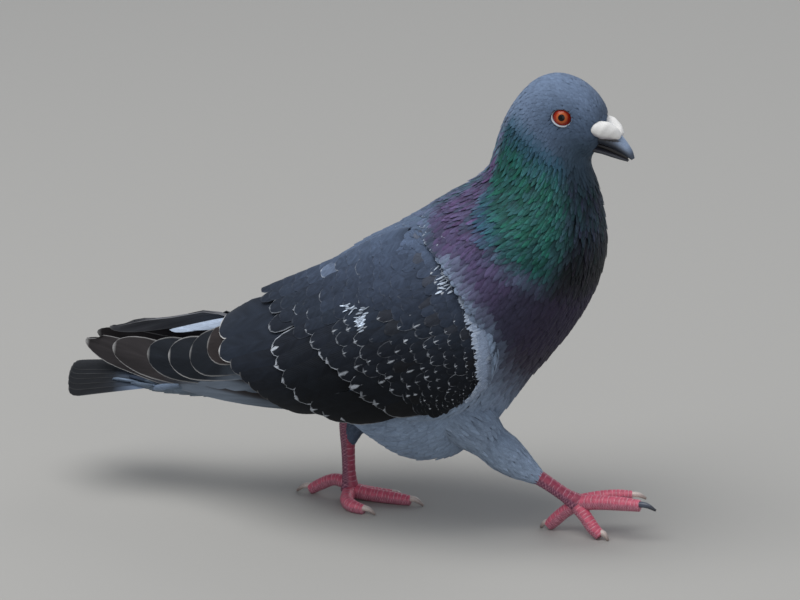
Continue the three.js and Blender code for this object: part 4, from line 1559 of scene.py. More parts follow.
def between(
    surface: Surface, root: Array, tip: Array, width: Array | float, tint: Array, **looks: Array | float
) -> Feathers:
    """Feathers that reach from one place to another.

    Args:
        surface: The form.
        root: u and v of each root.
        tip: u and v of each tip.
        width: Their widths.
        tint: Their colours, for each or for each of its points.
        looks: The other fields of Feathers: sink, lift, spot, edge and bow.

    Returns:
        The feathers.
    """
    _, by_u, by_v, _ = surface.frames(root[:, 0], root[:, 1])
    way = by_u * (tip - root)[:, :1] + by_v * (tip - root)[:, 1:]
    return Feathers(
        surface=surface, u=root[:, 0], v=root[:, 1], lie=way, length=np.linalg.norm(way, axis=-1),
        width=width, tint=tint, unwrap=np.clip((root - [-135, -60]) / [230, 215], 0.01, 0.99), **looks,
    )


def webs(vane: Vane, inner: Array, outer: Array, turn: Array, reach: float) -> Array:
    """Colours of quills whose outer web is paler towards the root.

    Args:
        vane: Their kind.
        inner: Colours of the inner webs and the tips.
        outer: Colours of the outer webs.
        turn: For each, 1 where the outer web lies on the far side of the vane's columns, or -1.
        reach: How far along the outer web keeps its colour.

    Returns:
        A colour for each point of each vane, as Coat keeps them.
    """
    along = vane.stations()[None, :, None]
    across = np.append(np.linspace(-1, 1, vane.columns), 0.0)[None, None, :] * turn[:, None, None]
    share = fade(across, -0.1, 0.3) * (1 - fade(along, reach - 0.15, reach + 0.15))
    return blend(inner[:, None, None] + 0 * share[..., None], outer[:, None, None], share)


# The rows of lesser coverts, rearmost first: [how far the row lies towards the wing's front, spacing, width].
LESSER_ROWS = [
    [0, 6.2, 9.6], [0.12, 5.4, 8.6], [0.24, 5, 8], [0.36, 4.7, 7.4], [0.47, 4.4, 7], [0.57, 4.1, 6.5],
    [0.67, 3.8, 6.1], [0.76, 3.5, 5.6], [0.84, 3.2, 5.2], [0.91, 3, 4.8], [0.97, 2.8, 4.4],
]
WIDEST_GAP = 58  # from the lesser coverts' rearmost tips to the wing's front edge, in millimetres
COVERT_VANE = Vane(rows=8, columns=7, root=0.5, widest=0.62, roundness=2.8, camber=0.12, thickness=0.25)
QUILL_VANE = Vane(
    rows=16, columns=7, root=0.5, widest=0.76, roundness=2.6, camber=0.06, thickness=0.3, frayed=0.0
)
PRIMARY_VANE = Vane(
    rows=18, columns=9, root=0.5, widest=0.8, roundness=2.1, camber=0.05, thickness=0.3, frayed=0.0
)
RECTRIX_VANE = Vane(
    rows=16, columns=9, root=0.45, widest=0.8, roundness=5.0, camber=0.06, thickness=0.3, frayed=0.0
)

# Tips of the tertials and secondaries, and roots, uppermost first: [tip x, tip z, root x, root z, width].
SECONDARIES = [
    [-57, 87, 2, 113.5, 23], [-51, 79, 0, 101, 18.5], [-42.5, 75, 2, 92, 15.5],
    [-36.5, 71.8, 4, 86, 14.5], [-31.5, 68.3, 7, 80.5, 13.5], [-27, 65, 10, 76, 13],
    [-22.5, 61.8, 13, 71.8, 12.5], [-18.5, 59, 16, 68, 12], [-14, 56.8, 20, 65, 11],
]
# The primaries, the innermost first: [tip x, tip z, root z, width, droop of the shaft].
PRIMARIES = [
    [-61, 78.5, 93, 20, 1.2], [-70, 73, 90, 21, 2.6], [-82, 69.5, 85, 22, 3.4],
    [-94, 68.5, 79, 20.5, 3.4], [-113, 68.8, 68, 17.5, 3.6], [-127.5, 70.2, 58, 14, 4],
]
FAR_EDGE = [-121.0, 73.5, 97.0, 10.0, -1.0]  # closes the left wing's upper edge
# The primaries' inner webs, innermost first; the last, for the far wing's edge feather, is painted lighter as
# a painted highlight where its face turns from the light.
PRIMARY_SHADES = ("#302b2b", "#1c2026", "#1b1f25", "#1c2026", "#312e2f", "#2f2c2d", "#66676b")
OUTER_WEB = "#6a7480"
# The rows of scapulars, the lowest first: [how far their roots lie under the wing's upper edge, width].
SCAPULAR_ROWS = [[24, 10], [19, 10.5], [14, 11], [9, 11], [4, 10.5], [-1, 9.5]]


@dataclass(frozen=True)
class WingCoat:
    """The feathers of one folded wing."""

    side: Side
    frame: Frame
    colours: Plumage
    material: Material
    flight: Material

    @property
    def face(self) -> WingFace:
        """The wing's outer face, ahead of the primaries."""
        return WingFace(wing_form(WING_STATIONS, self.side), self.side)

    def top(self, x: Array) -> Array:
        """How high the wing's upper edge is."""
        return self.face.column(TOP_Z, x)

    def build(self) -> None:
        """Lays the coverts, the secondaries and the primaries."""
        seed = 30 if self.side is Side.LEFT else 40
        self.coverts(Coat(f"coverts_{self.side.word}", self.frame, seed))
        self.scapulars(Coat(f"scapulars_{self.side.word}", self.frame, seed + 1))
        self.secondaries(Coat(f"secondaries_{self.side.word}", self.frame, seed + 2))
        self.primaries(Coat(f"primaries_{self.side.word}", self.frame, seed + 3))

    def coverts(self, coat: Coat) -> None:
        """Lays the greater, the median and the lesser coverts, row before row."""
        self.row(coat, GREATER_TIPS, 0.0, 7.6, 13.5, 30.0, 0.95)
        self.row(coat, MEDIAN_TIPS, 0.0, 6.8, 12.0, 27.0, 0.8)
        for number, (share, pitch, width) in enumerate(LESSER_ROWS):
            ahead = LESSER_ROWS[number + 1][0] if number + 1 < len(LESSER_ROWS) else 1.02
            rim = 0.45 if number == 0 else 0.1
            self.row(coat, LESSER_TIPS, share, pitch, width, 150.0 * (ahead - share), rim)
        self.border(coat)
        coat.build("plumage_coverts", self.material, f"wing_{self.side.word}_coverts")

    def row(
        self, coat: Coat, line: list[list[float]], share: float, pitch: float, width: float, longest: float,
        rim: float,
    ) -> None:
        """Lays one row of coverts.

        Args:
            coat: The piece.
            line: Where the rearmost row's tips lie.
            share: How far this row lies from there to the wing's front edge.
            pitch: Spacing along the row.
            width: Of its feathers.
            longest: Length of its feathers where the rows lie furthest apart.
            rim: How strong their pale rims are.
        """
        random = coat.random
        small = line is LESSER_TIPS
        finely = np.linspace(0, 1, 60)
        whole = along_line(line, finely) * (1 - share) + along_line(WING_FRONT, finely) * share
        count = int(np.sum(np.linalg.norm(np.diff(whole, axis=0), axis=1)) / pitch)
        place = (np.arange(count) + random.uniform(0.2, 0.8)) / count + random.normal(0, 0.1 / count, count)
        place = np.clip(place, 0, 1)
        rear, front = along_line(line, place), along_line(WING_FRONT, place)
        tip = rear + (front - rear) * share + random.normal(0, 0.4, (count, 2))
        across = front - along_line(LESSER_TIPS, place)
        gap = np.linalg.norm(across, axis=1)
        way = unit(unit(across) + np.array([0.0, 0.3]) * place[:, None])
        room = np.linalg.norm(front - tip, axis=1)
        length = np.clip(longest * (gap / WIDEST_GAP if small else 1) + 4, 5, room + 0.2)
        root = tip + way * length[:, None]
        below = self.top(tip[:, 0]) - tip[:, 1]
        lowest = self.face.column(BOTTOM_Z, tip[:, 0]) + 0.25 * width * (tip[:, 0] > 45)
        keep = (below > 0.2 * width) & (tip[:, 1] > lowest)
        root, tip, length, below = root[keep], tip[keep], length[keep], below[keep]
        count, x, height = len(tip), tip[:, 0], tip[:, 1]
        tint = varied(self.colours.wing(height, below, x), random, 0.1)
        brown = random.random(count) < 0.05
        tint[brown] = tint[brown] * np.array([1.2, 1.02, 0.88])
        speckled = fade(x, 8, 20) * (1 - fade(height, 104, 112)) * fade(height, 66, 74) * small
        size = random.uniform(0.07, 0.2, count) * (1 - 0.35 * fade(x, 50, 70))
        size = size * np.clip(15 / length, 0.5, 1.0)
        spot = np.where(random.random(count) < 0.9 * speckled, size, 0)
        patch = (np.hypot(x - 23, height - 107) < 7) & small & (random.random(count) < 0.85)
        collar = (np.hypot(x - 63, height - 127) < 8) & (random.random(count) < 0.8)
        spot = np.where(patch | collar, random.uniform(0.08, 0.2, count), spot)
        edge = 0.08 * random.uniform(0.2, 1.0, count)
        edge = edge + 0.45 * (spot > 0.05) * random.uniform(0.1, 1.0, count)
        if rim > 0.2:
            edge = rim * (1 - 0.85 * fade(height, 99, 108)) * random.uniform(0.6, 1.0, count)
            speck = (random.random(count) < 0.45) & (height < 94)
            spot = np.where(speck, random.uniform(0.05, 0.16, count), spot)
        edge = np.where(patch | collar, 0.3, edge)
        width = width * random.uniform(0.92, 1.08, count)
        lift = 0.3 * random.uniform(0.2, 1.4, count)
        sink = 0.8 + 0.02 * length
        leaf = between(self.face, root, tip, width, tint, sink=sink, lift=lift, spot=spot, edge=edge)
        coat.lay(leaf, COVERT_VANE)

    def border(self, coat: Coat) -> None:
        """Lays the pale feathers of the breast's side that lie over the wing's front edge."""
        random, count = coat.random, 100
        for share in (1.0, 0.85, 0.7, 0.5, 0.3, 0.1, -0.15):
            place = np.linspace(0.1, 0.86, count) + random.normal(0, 0.005, count)
            reach = np.interp(place, [0.1, 0.38, 0.48, 0.6, 0.74, 0.86], [2.0, 5.0, 5.5, 4.2, 2.2, 0.4])
            reach = share * reach
            root = along_line(WING_FRONT, place) + np.stack([3.4 - reach, 0.6 + 0.3 * reach], axis=1)
            root[:, 0] = np.minimum(root[:, 0], 88.5)  # the face ends there
            way = unit(np.array([-1.0, -0.45]) + random.normal(0, 0.16, (count, 2)))
            length = random.uniform(3.4, 5.8, count) * (1 - 0.45 * fade(place, 0.66, 0.84))
            shade = 0.7 * fade(share, 0.6, 1.0)
            colour = blend(linear(self.colours.border), linear(self.colours.frayed), shade)
            tint = many(colour, count, random, 0.07)
            width = random.uniform(1.7, 2.6, count)
            tip = root + way * length[:, None]
            coat.lay(between(self.face, root, tip, width, tint, sink=0.1, lift=0.55, edge=0.25), NECK_VANE)
        self.frayed(coat, (28.5, 107.0), (1.2, 2.2), 36)
        self.frayed(coat, (20.5, 110.5), (1.9, 0.9), 16)
        self.frayed(coat, (67.0, 130.0), (2.0, 3.6), 60)

    def frayed(
        self, coat: Coat, middle: tuple[float, float], spread: tuple[float, float], count: int
    ) -> None:
        """Lays a patch of small frayed white feathers.

        Args:
            coat: The piece.
            middle: Of the patch.
            spread: Of the patch, along and up.
            count: How many.
        """
        random = coat.random
        root = np.array(middle) + random.normal(0, 1, (count, 2)) * spread
        way = unit(np.array([-1.0, -0.6]) + random.normal(0, 0.3, (count, 2)))
        tip = root + way * random.uniform(2.0, 4.4, (count, 1))
        tint = many(self.colours.frayed, count, random, 0.35)
        width = random.uniform(0.5, 1.0, count)
        coat.lay(between(self.face, root, tip, width, tint, sink=0.1, lift=0.8, edge=0.6), NECK_VANE)

    def scapulars(self, coat: Coat) -> None:
        """Lays the feathers that fall from the shoulder over the wing's upper edge."""
        random = coat.random
        for row, (drop, width) in enumerate(SCAPULAR_ROWS):
            x = np.arange(62 - 5 * row, 4 - 6 * row, -6.0) + (3.0 if row % 2 else 0)
            x = x + random.normal(0, 0.6, len(x))
            root = np.stack([x, self.top(x) - drop], axis=1)
            length = 14 + 2 * random.random(len(x)) + 5 * fade(-x, -40, 5)
            tip = root + unit(np.array([-1.0, -0.5])) * length[:, None]
            below = self.top(tip[:, 0]) - tip[:, 1]
            tint = varied(self.colours.wing(tip[:, 1], below, tip[:, 0]), random, 0.1)
            pale = (np.hypot(tip[:, 0] + 4, tip[:, 1] - 115) < 5) & (row % 2 == 0)
            tint = blend(tint, linear(self.colours.worn), 0.7 * pale)
            flecked = (random.random(len(x)) < 0.14) | pale
            width = width * (1 - 0.4 * fade(-x, 4, 26))
            edge = np.where(flecked, 0.45, 0.05)
            leaf = between(self.face, root, tip, width, tint, sink=0.5, lift=0.35 + 0.15 * row, edge=edge)
            coat.lay(leaf, COVERT_VANE)
        coat.build("plumage_coverts", self.material)

    def secondaries(self, coat: Coat) -> None:
        """Lays the tertials and secondaries, the uppermost on top."""
        table = np.array(SECONDARIES)[::-1]
        if self.side is Side.LEFT:
            table = table - np.array([0, 0, 0, 5.0, 0]) * (table[:, 3:4] > 90)
        order = np.arange(len(table))[::-1]
        tip, root, width = table[:, :2], table[:, 2:4], table[:, 4]
        height = np.minimum(0.35 * tip[:, 1] + 0.65 * root[:, 1] + 5, 100)
        tint = varied(self.colours.wing(height, 30 + 0 * width, 10 + 0 * width), coat.random, 0.06)
        edge = np.where(order < 2, 1.0, 0.25)
        lift, bow = -0.25 - 0.25 * order, -1.5 * self.side.value
        quills = between(self.face, root, tip, width, tint, sink=3.0, lift=lift, edge=edge, bow=bow)
        coat.lay(quills, QUILL_VANE)
        coat.build("plumage_flight", self.flight, f"wing_{self.side.word}_secondaries")

    def primaries(self, coat: Coat) -> None:
        """Lays the primaries, the innermost on top."""
        surface = WingFace(wing_form(PRIMARY_STATIONS, self.side), self.side)
        table = np.array(PRIMARIES)[::-1]
        if self.side is Side.LEFT:
            table = table + np.array([0, 3.0, 3.0, 0, 0]) * (table[:, :1] > -120)
            table = np.concatenate([[FAR_EDGE], table])
        order = np.arange(len(table))[::-1]
        root = np.stack([np.full(len(table), -4.0), table[:, 2]], axis=1)
        # On the far wing the edge feather takes the last colour, the painted highlight.
        inner = np.array([linear(shade) for shade in PRIMARY_SHADES[: len(table)][::-1]])
        outer = np.broadcast_to(linear(OUTER_WEB), inner.shape)
        turn = np.full(len(table), -float(self.side.value))
        tint = webs(PRIMARY_VANE, inner, outer, turn, 0.6)
        lift, bow = -0.2 - 0.28 * order, -table[:, 4] * self.side.value
        tip, width = table[:, :2], table[:, 3]
        quills = between(surface, root, tip, width, tint, sink=2.0, lift=lift, edge=0.42, bow=bow)
        coat.lay(quills, PRIMARY_VANE)
        coat.build("plumage_flight", self.flight, f"wing_{self.side.word}_primaries")


@dataclass(frozen=True)
class TailCoat:
    """The folded tail: twelve long feathers, the middle pair on top."""

    frame: Frame
    material: Material
    slate: str = "#3a4350"
    band: str = "#15171b"
    pale: str = "#8496b0"  # outer webs of the outermost pair

    def build(self) -> None:
        """Lays the feathers."""
        coat = Coat("tail_feathers", self.frame, 50)
        vane = RECTRIX_VANE
        far = np.repeat(np.arange(5.5, 0, -1), 2)
        out = far * np.tile([1, -1], 6)
        root = np.stack([-64 + 0 * out, out * 1.6], axis=1)
        tip = np.stack([-136 + 4 * (far / 5.5) ** 2, out * 3.5], axis=1)
        along = vane.stations()[None, :, None]
        tint = blend(linear(self.slate), linear(self.band), fade(along, 0.55, 0.7))
        tint = np.broadcast_to(tint, (12, vane.rows, vane.columns + 1, 3)).copy()
        outer = np.broadcast_to(linear(self.pale), (2, 3))
        pale = webs(vane, tint[:2, 0, 0], outer, np.array([-1.0, 1.0]), 0.5)
        tint[:2] = np.where((pale > tint[:2]) & (along[..., None] < 0.6), pale, tint[:2])
        sink, lift = 0.3 + 0.3 * far, 0.0 - 0.4 * far
        coat.lay(between(TailTop(), root, tip, 15.5, tint, sink=sink, lift=lift, edge=0.06), vane)
        coat.build("plumage_tail", self.material, "tail")


# ------------------------------------------------------------------ skin


@dataclass(frozen=True)
class Skin:
    """One closed skin for all the flesh, as deep under the feathers as they are thick."""

    frame: Frame
    colours: Plumage
    material: Material
    fineness: float = 1.6  # of the mesh, in millimetres

    def depth(self, u: Array, v: Array) -> Array:
        """How far inside the outline the skin lies."""
        return -(0.35 + 2.4 * fade(u, 4.5, 12.0)) + 0 * v

    def trunk(self, body: Rungs) -> Mesh:
        """The head, neck, trunk and rump, pressed flat where a wing lies on them.

        Args:
            body: Their form.

        Returns:
            Its closed mesh.
        """
        mesh, _, _ = form_mesh("body", self.frame, body, (0.1, len(RUNGS) - 1), 120, 72, self.depth)
        points = np.array([vert.co for vert in mesh.vertices]) / MM - self.frame.shift
        for side in Side:
            for stations in (WING_STATIONS, PRIMARY_STATIONS):
                face = WingFace(stations, side)
                behind = face.covers(points, -3.0)
                limit = np.abs(face.point(points[:, 0], points[:, 2])[:, 1]) - 4.5
                pressed = np.minimum(np.abs(points[:, 1]), np.maximum(limit, 2.0)) * side.value
                points[:, 1] = np.where(behind & np.isfinite(limit), pressed, points[:, 1])
        at_eye = (points[:, 0] > 95) * (points[:, 2] > 185)
        socket = (1 - fade(EYE.across(on_left(points)), 0.8, 1.2)) * at_eye
        points[:, 1] -= 2.4 * socket * np.sign(points[:, 1])
        mesh.vertices.foreach_set("co", self.frame.place(points).astype(np.float32).ravel())
        return mesh

    def wing_arm(self, side: Side) -> Mesh:
        """The fleshy part of a folded wing, reaching into the trunk.

        Args:
            side: Which wing.

        Returns:
            Its closed mesh.
        """
        rows = 24
        ball, row, angle = wrapped_ball(rows, 32)
        along = np.clip(row, 0, rows - 1) / (rows - 1)
        rear, front = np.array([8.0, 87.0]), np.array([81.0, 94.0])
        middle = rear + (front - rear) * along[:, None]
        half = 28 * np.sin(np.clip(along, 0.06, 0.94) * math.pi) ** 0.5
        z = middle[:, 1] + half * np.cos(angle)
        face = WingFace(WING_STATIONS, side).raised(middle[:, 0], z, np.full(len(z), -2.4))
        inner = face * np.array([1, 0, 1]) + np.array([0, 18.0 * side.value, 0])
        points = inner + (face - inner) * np.clip(0.5 + 1.2 * np.sin(angle), 0, 1)[:, None]
        close_poles(points, row, rows)
        return shaped("wing_arm", self.frame, ball, points)

    def build(self) -> None:
        """Joins the forms, gives them one surface and colours it."""
        body = Rungs(RUNGS)
        meshes = [self.trunk(body)]
        for side in Side:
            thigh, pad = Limb(LEGS[side.word]["thigh"]), wing_pad(side)
            meshes.append(form_mesh("thigh", self.frame, thigh, (0, len(thigh.line) - 1), 28, 24, -0.8)[0])
            meshes.append(self.wing_arm(side))
            meshes.append(form_mesh("pad", self.frame, pad, (0, len(pad.line) - 1), 20, 24, -0.6)[0])
        mesh = self.one_surface(meshes)
        u, v = np.meshgrid(np.linspace(0, len(RUNGS) - 0.5, 100), np.linspace(0, TAU, 60), indexing="ij")
        u, v = u.ravel(), v.ravel()
        tree = search_tree(self.frame.place(body.point(u, v)))
        nearest = np.array([tree.find(vert.co)[1] for vert in mesh.vertices])
        nearer = 1.0 + 0.7 * (1 - fade(u, 5.0, 7.5))  # on the head the skin shows between the short feathers, so it gets less painted shade there
        paint(mesh, "tint", (self.colours.body(u, v) * nearer[:, None])[nearest])
        flesh = ["head", "neck", "trunk", "rump", "thigh_left", "thigh_right"]
        finished(mesh, "skin", "plumage_trunk", self.material, *flesh)

    def one_surface(self, meshes: list[Mesh]) -> Mesh:
        """Turns closed meshes that overlap into one closed, smoothed mesh.

        Args:
            meshes: The meshes, which are used up.

        Returns:
            The new mesh.
        """
        joined = bmesh.new()
        for mesh in meshes:
            joined.from_mesh(mesh)
            bpy.data.meshes.remove(mesh)
        raw = bpy.data.meshes.new("raw_skin")
        joined.to_mesh(raw)
        joined.free()
        holder = bpy.data.objects.new("raw_skin", raw)
        bpy.context.scene.collection.objects.link(holder)
        remesh = holder.modifiers.new("one surface", "REMESH")
        remesh.mode = "VOXEL"
        remesh.voxel_size = self.fineness * MM
        holder.modifiers.new("smooth", "SMOOTH").iterations = 6
        shape = holder.evaluated_get(bpy.context.evaluated_depsgraph_get())
        whole = bpy.data.meshes.new_from_object(shape)
        whole.name = "skin"
        bpy.data.objects.remove(holder)
        bpy.data.meshes.remove(raw)
        smooth(whole)
        return whole


# ------------------------------------------------------------------ bare parts


@dataclass(frozen=True)
class EyeForm:
    """Where the left eye lies and how it opens; the right one mirrors it."""

    middle: tuple[float, float, float] = EYE_MIDDLE
    radius: float = EYE_RADIUS
    axis: tuple[float, float, float] = (0.17, 0.96, 0.19)
    half_length: float = 4.35
    half_height: float = 3.5
    tilt: float = -14.0  # degrees, nose down

    def axes(self) -> tuple[Array, Array, Array]:
        """The opening's long way, its high way and its outward way."""
        out = unit(np.array(self.axis))
        level = unit(np.cross(out, np.array([0.0, 0.0, 1.0])))
        level = level if level[0] > 0 else -level
        up = np.cross(out, level)
        up = up if up[2] > 0 else -up
        turn = math.radians(self.tilt)
        long_way = level * math.cos(turn) + up * math.sin(turn)
        high_way = up * math.cos(turn) - level * math.sin(turn)
        return long_way, high_way, out

    def across(self, points: Array) -> Array:
        """How far points lie from the eye's axis, where 1 is on the rim of the opening.

        Args:
            points: Points of the left side.

        Returns:
            A number for each.
        """
        long_way, high_way, _ = self.axes()
        offset = points - np.array(self.middle)
        long_part = offset @ long_way / (self.half_length + 0.7)
        high_part = offset @ high_way / (self.half_height + 0.7)
        return np.hypot(long_part, high_part)


@dataclass(frozen=True)
class CereForm:
    """The left one of the two swollen lobes over the nostrils."""

    # From its rear tip on the face to its front: [x, y, z, half-width, half-height].
    line: tuple[tuple[float, ...], ...] = (
        (124.0, 9.5, 195.2, 1.1, 1.6), (126.0, 7.7, 195.3, 2.5, 3.2), (128.4, 5.8, 194.9, 3.2, 3.9),
        (131.2, 3.8, 193.9, 3.1, 3.7), (134.0, 2.2, 192.4, 2.5, 2.8), (136.0, 1.2, 190.8, 1.4, 1.5),
    )

    def holds(self, points: Array, margin: float) -> Array:
        """Whether points of the left side lie in the lobe, or nearer to it than a margin."""
        inside = np.zeros(points.shape[:-1], bool)
        for x, y, z, wide, high in through(self.line, np.linspace(0, len(self.line) - 1, 16)):
            local = (points - np.array([x, y, z])) / np.array([wide + margin, wide + margin, high + margin])
            inside |= np.sum(local**2, axis=-1) < 1
        return inside


EYE = EyeForm()
CERE = CereForm()


def ring_mesh(name: str, points: Array) -> Mesh:
    """Makes a closed ring from rings of points.

    Args:
        name: The mesh's name.
        points: Points in metres, by place round the ring and place round its tube.

    Returns:
        The mesh.
    """
    around, tube = points.shape[:2]
    index = np.arange(around * tube).reshape(around, tube)
    ahead, beside = np.roll(index, -1, axis=0), np.roll(index, -1, axis=1)
    both = np.roll(ahead, -1, axis=1)
    quads = np.stack([index, ahead, both, beside], axis=-1).reshape(-1, 4)
    mesh = mesh_from(name, points.reshape(-1, 3), quads.ravel(), np.full(len(quads), 4))
    build = bmesh.new()
    build.from_mesh(mesh)
    bmesh.ops.recalc_face_normals(build, faces=build.faces)
    build.to_mesh(mesh)
    build.free()
    return mesh


@dataclass(frozen=True)
class Eye:
    """One eye with its lids."""

    side: Side
    frame: Frame
    ball_material: Material
    lid_material: Material
    cornea: float = 0.75  # how far the cornea bulges
    # The ring's top, darkened as painted shade; the lower lid keeps its own pale colour.
    lid: str = "#6f7480"
    lower_lid: str = "#b4bac2"

    def mirror(self, points: Array) -> Array:
        """Turns points of the left side into points of this side."""
        return points * np.array([1, self.side.value, 1])

    def build(self) -> None:
        """Builds the ball and the lids."""
        self.ball()
        self.lids()

    def ball(self) -> None:
        """Builds the eyeball, its pupil's axis outwards."""
        name = f"eyeball_{self.side.word}"
        ball = bmesh.new()
        bmesh.ops.create_uvsphere(ball, u_segments=64, v_segments=48, radius=1.0)
        places = np.array([vert.co for vert in ball.verts])
        polar = np.arccos(np.clip(places[:, 2], -1, 1))
        angle = np.arctan2(places[:, 1], places[:, 0])
        rise = self.cornea * np.clip(1 - (polar / math.radians(50)) ** 2, 0, 1)
        points = np.array(EYE.middle) + places @ np.array(EYE.axes()) * (EYE.radius + rise)[:, None]
        mesh = shaped(name, self.frame, ball, self.mirror(points))
        from_pupil = np.where(polar < math.pi / 2, np.sin(polar) * EYE.radius, 9.0)
        layer = mesh.attributes.new("from_pupil", "FLOAT", "POINT")
        layer.data.foreach_set("value", from_pupil.astype(np.float32))
        spoke = np.stack([np.cos(angle), np.sin(angle), 0.12 * from_pupil], axis=-1)
        layer = mesh.attributes.new("spoke", "FLOAT_VECTOR", "POINT")
        layer.data.foreach_set("vector", spoke.astype(np.float32).ravel())
        finished(mesh, name, "eye", self.ball_material, f"eye_{self.side.word}")

    def lids(self) -> None:
        """Builds the pale rim of bare skin round the eye, thickest below and behind."""
        name = f"lids_{self.side.word}"
        turn = np.linspace(0, TAU, 90, endpoint=False)[:, None]
        bend = np.linspace(0, TAU, 14, endpoint=False)[None, :]
        long_way, high_way, out = EYE.axes()
        low = fade(-np.sin(turn + 0.25), -0.6, 0.9)  # below and behind
        thick = 0.27 + 0.18 * low
        rim = np.cos(turn)[..., None] * long_way * EYE.half_length
        rim = rim + np.sin(turn)[..., None] * high_way * EYE.half_height
        depth = np.sqrt(np.maximum(EYE.radius**2 - np.sum(rim * rim, axis=-1), 0))
        crease = 0.05 * np.sin(turn * 30) * (np.sin(bend) > 0)
        outwards = thick * (1 + np.cos(bend)) * 0.95
        points = np.array(EYE.middle) + rim + unit(rim) * outwards[..., None]
        points = points + out * (depth + 0.25 + 0.55 * outwards + (0.42 + crease) * np.sin(bend))[..., None]
        mesh = ring_mesh(name, self.frame.place(self.mirror(points)))
        # The ring is darker along its top and on the side of its tube that faces into the socket: painted
        # shade.
        tint = blend(linear(self.lid), linear(self.lower_lid), low + 0 * bend)
        paint(mesh, "tint", (tint * (0.7 + 0.3 * np.sin(bend))[..., None]).reshape(-1, 3))
        finished(mesh, name, "cere", self.lid_material)


@dataclass(frozen=True)
class Bill:
    """The two halves of the bill and the chalky cere over the nostrils."""

    frame: Frame
    horn: Material
    chalk: Material
    ridge: str = "#8b9cb5"
    flank: str = "#2e333d"
    tip: str = "#414b5b"
    nostril_and_overhang_shade: str = "#1c181c"
    chin: str = "#3c4049"
    gape: str = "#2b2b33"
    # The mouth lining is near black as painted shade in the gape.
    mouth: str = "#141013"
    powder: str = "#eceae6"
    powder_shade: str = "#9c98a0"

    def build(self) -> None:
        """Builds the bill and the cere."""
        self.half("bill_upper", UPPER_BILL)
        self.half("bill_lower", LOWER_BILL)
        self.lining()
        for side in Side:
            self.lobe(side)

    def half(self, node: str, table: list[list[float]]) -> None:
        """Builds one half of the bill.

        Args:
            node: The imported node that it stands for.
            table: Its rungs.
        """
        name, rungs = f"{node}_horn", Rungs(table)
        mesh, u, v = form_mesh(name, self.frame, rungs, (0, len(table) - 1), 64, 40)
        down = np.degrees(np.arccos(np.cos(v)))
        if node == "bill_upper":
            in_cere = CERE.holds(on_left(rungs.point(u, v)), 0.9)
            # Lighter along the ridge: partly the horn's blue-grey, partly a painted highlight from above.
            colour = blend(linear(self.ridge), linear(self.flank), fade(down, 45, 112))
            colour = blend(colour, linear(self.tip), fade(u, 4.0, 5.7))
            # Near black under the cere: the nostril slits, with painted shade under the cere's overhang.
            colour = blend(colour, linear(self.nostril_and_overhang_shade), in_cere * fade(down, 35, 60))
        else:
            colour = blend(linear(self.gape), linear(self.chin), fade(down, 40, 140))
        paint(mesh, "tint", colour)
        finished(mesh, name, "bill_horn", self.horn, node)

    def lining(self) -> None:
        """Builds the lining of the mouth, which fills the gape between the two halves, near black as painted
        shade deep in the gape.
        """
        share = np.linspace(0.0, 4.6, 8)
        upper, lower = through(UPPER_BILL, share * 1.2), through(LOWER_BILL, share)
        table = [
            [above[2], above[3] + 0.8, below[0], below[1] - 0.8, 0.62 * min(above[4], below[4]), 0.5]
            for above, below in zip(upper, lower)
        ]
        mesh, _, v = form_mesh("mouth_lining", self.frame, Rungs(table), (0, len(table) - 1), 32, 24)
        paint(mesh, "tint", np.broadcast_to(linear(self.mouth), (len(v), 3)))
        finished(mesh, "mouth_lining", "bill_horn", self.horn)

    def lobe(self, side: Side) -> None:
        """Builds one lobe of the cere.

        Args:
            side: Which one.
        """
        rows, name = 40, f"cere_lobe_{side.word}"
        ball, row, angle = wrapped_ball(rows, 36)
        polar = (np.clip(row, -1, rows) + 1) / (rows + 1) * math.pi
        along = (1 - np.cos(polar)) / 2
        at = along * (len(CERE.line) - 1)
        spine = through(CERE.line, at)
        ahead = through(CERE.line, at + 0.05)[:, :3] - through(CERE.line, at - 0.05)[:, :3]
        aside = unit(np.cross(np.array([0.0, 0.0, 1.0]), ahead))
        above = unit(np.cross(ahead, aside))
        blunt = np.clip(np.sin(polar) * (1.5 + 0.9 * along), 0, 1) ** 0.7
        wrinkle = 0.045 * np.sin(9 * along + 2 * angle) + 0.025 * np.sin(23 * along - 3 * angle)
        wrinkle += 0.02 * np.abs(np.sin(6.5 * angle + 5 * along))
        swell = blunt * (1 + wrinkle)
        points = spine[:, :3] + aside * (np.cos(angle) * spine[:, 3] * swell)[:, None]
        points = points + above * (np.sin(angle) * spine[:, 4] * swell)[:, None]
        mesh = shaped(name, self.frame, ball, points * np.array([1, side.value, 1]))
        # The lobe's underside is darker: painted shade.
        below = fade(-np.sin(angle) * blunt, 0.35, 1.0)
        paint(mesh, "tint", blend(linear(self.powder), linear(self.powder_shade), below))
        finished(mesh, name, "cere", self.chalk, f"cere_{side.word}")


# Of the plates, the small scales and the creases.
SHANK_COLOURS = ("#9c3852", "#70304f", "#c98a9c")
TOE_COLOURS = ("#cd5c72", "#ab526b", "#e2a9b4")
# From the root to the tip.
DARK_CLAW, PALE_CLAW = ("#4a5160", "#23262e"), ("#d9c9c0", "#8d7d76")


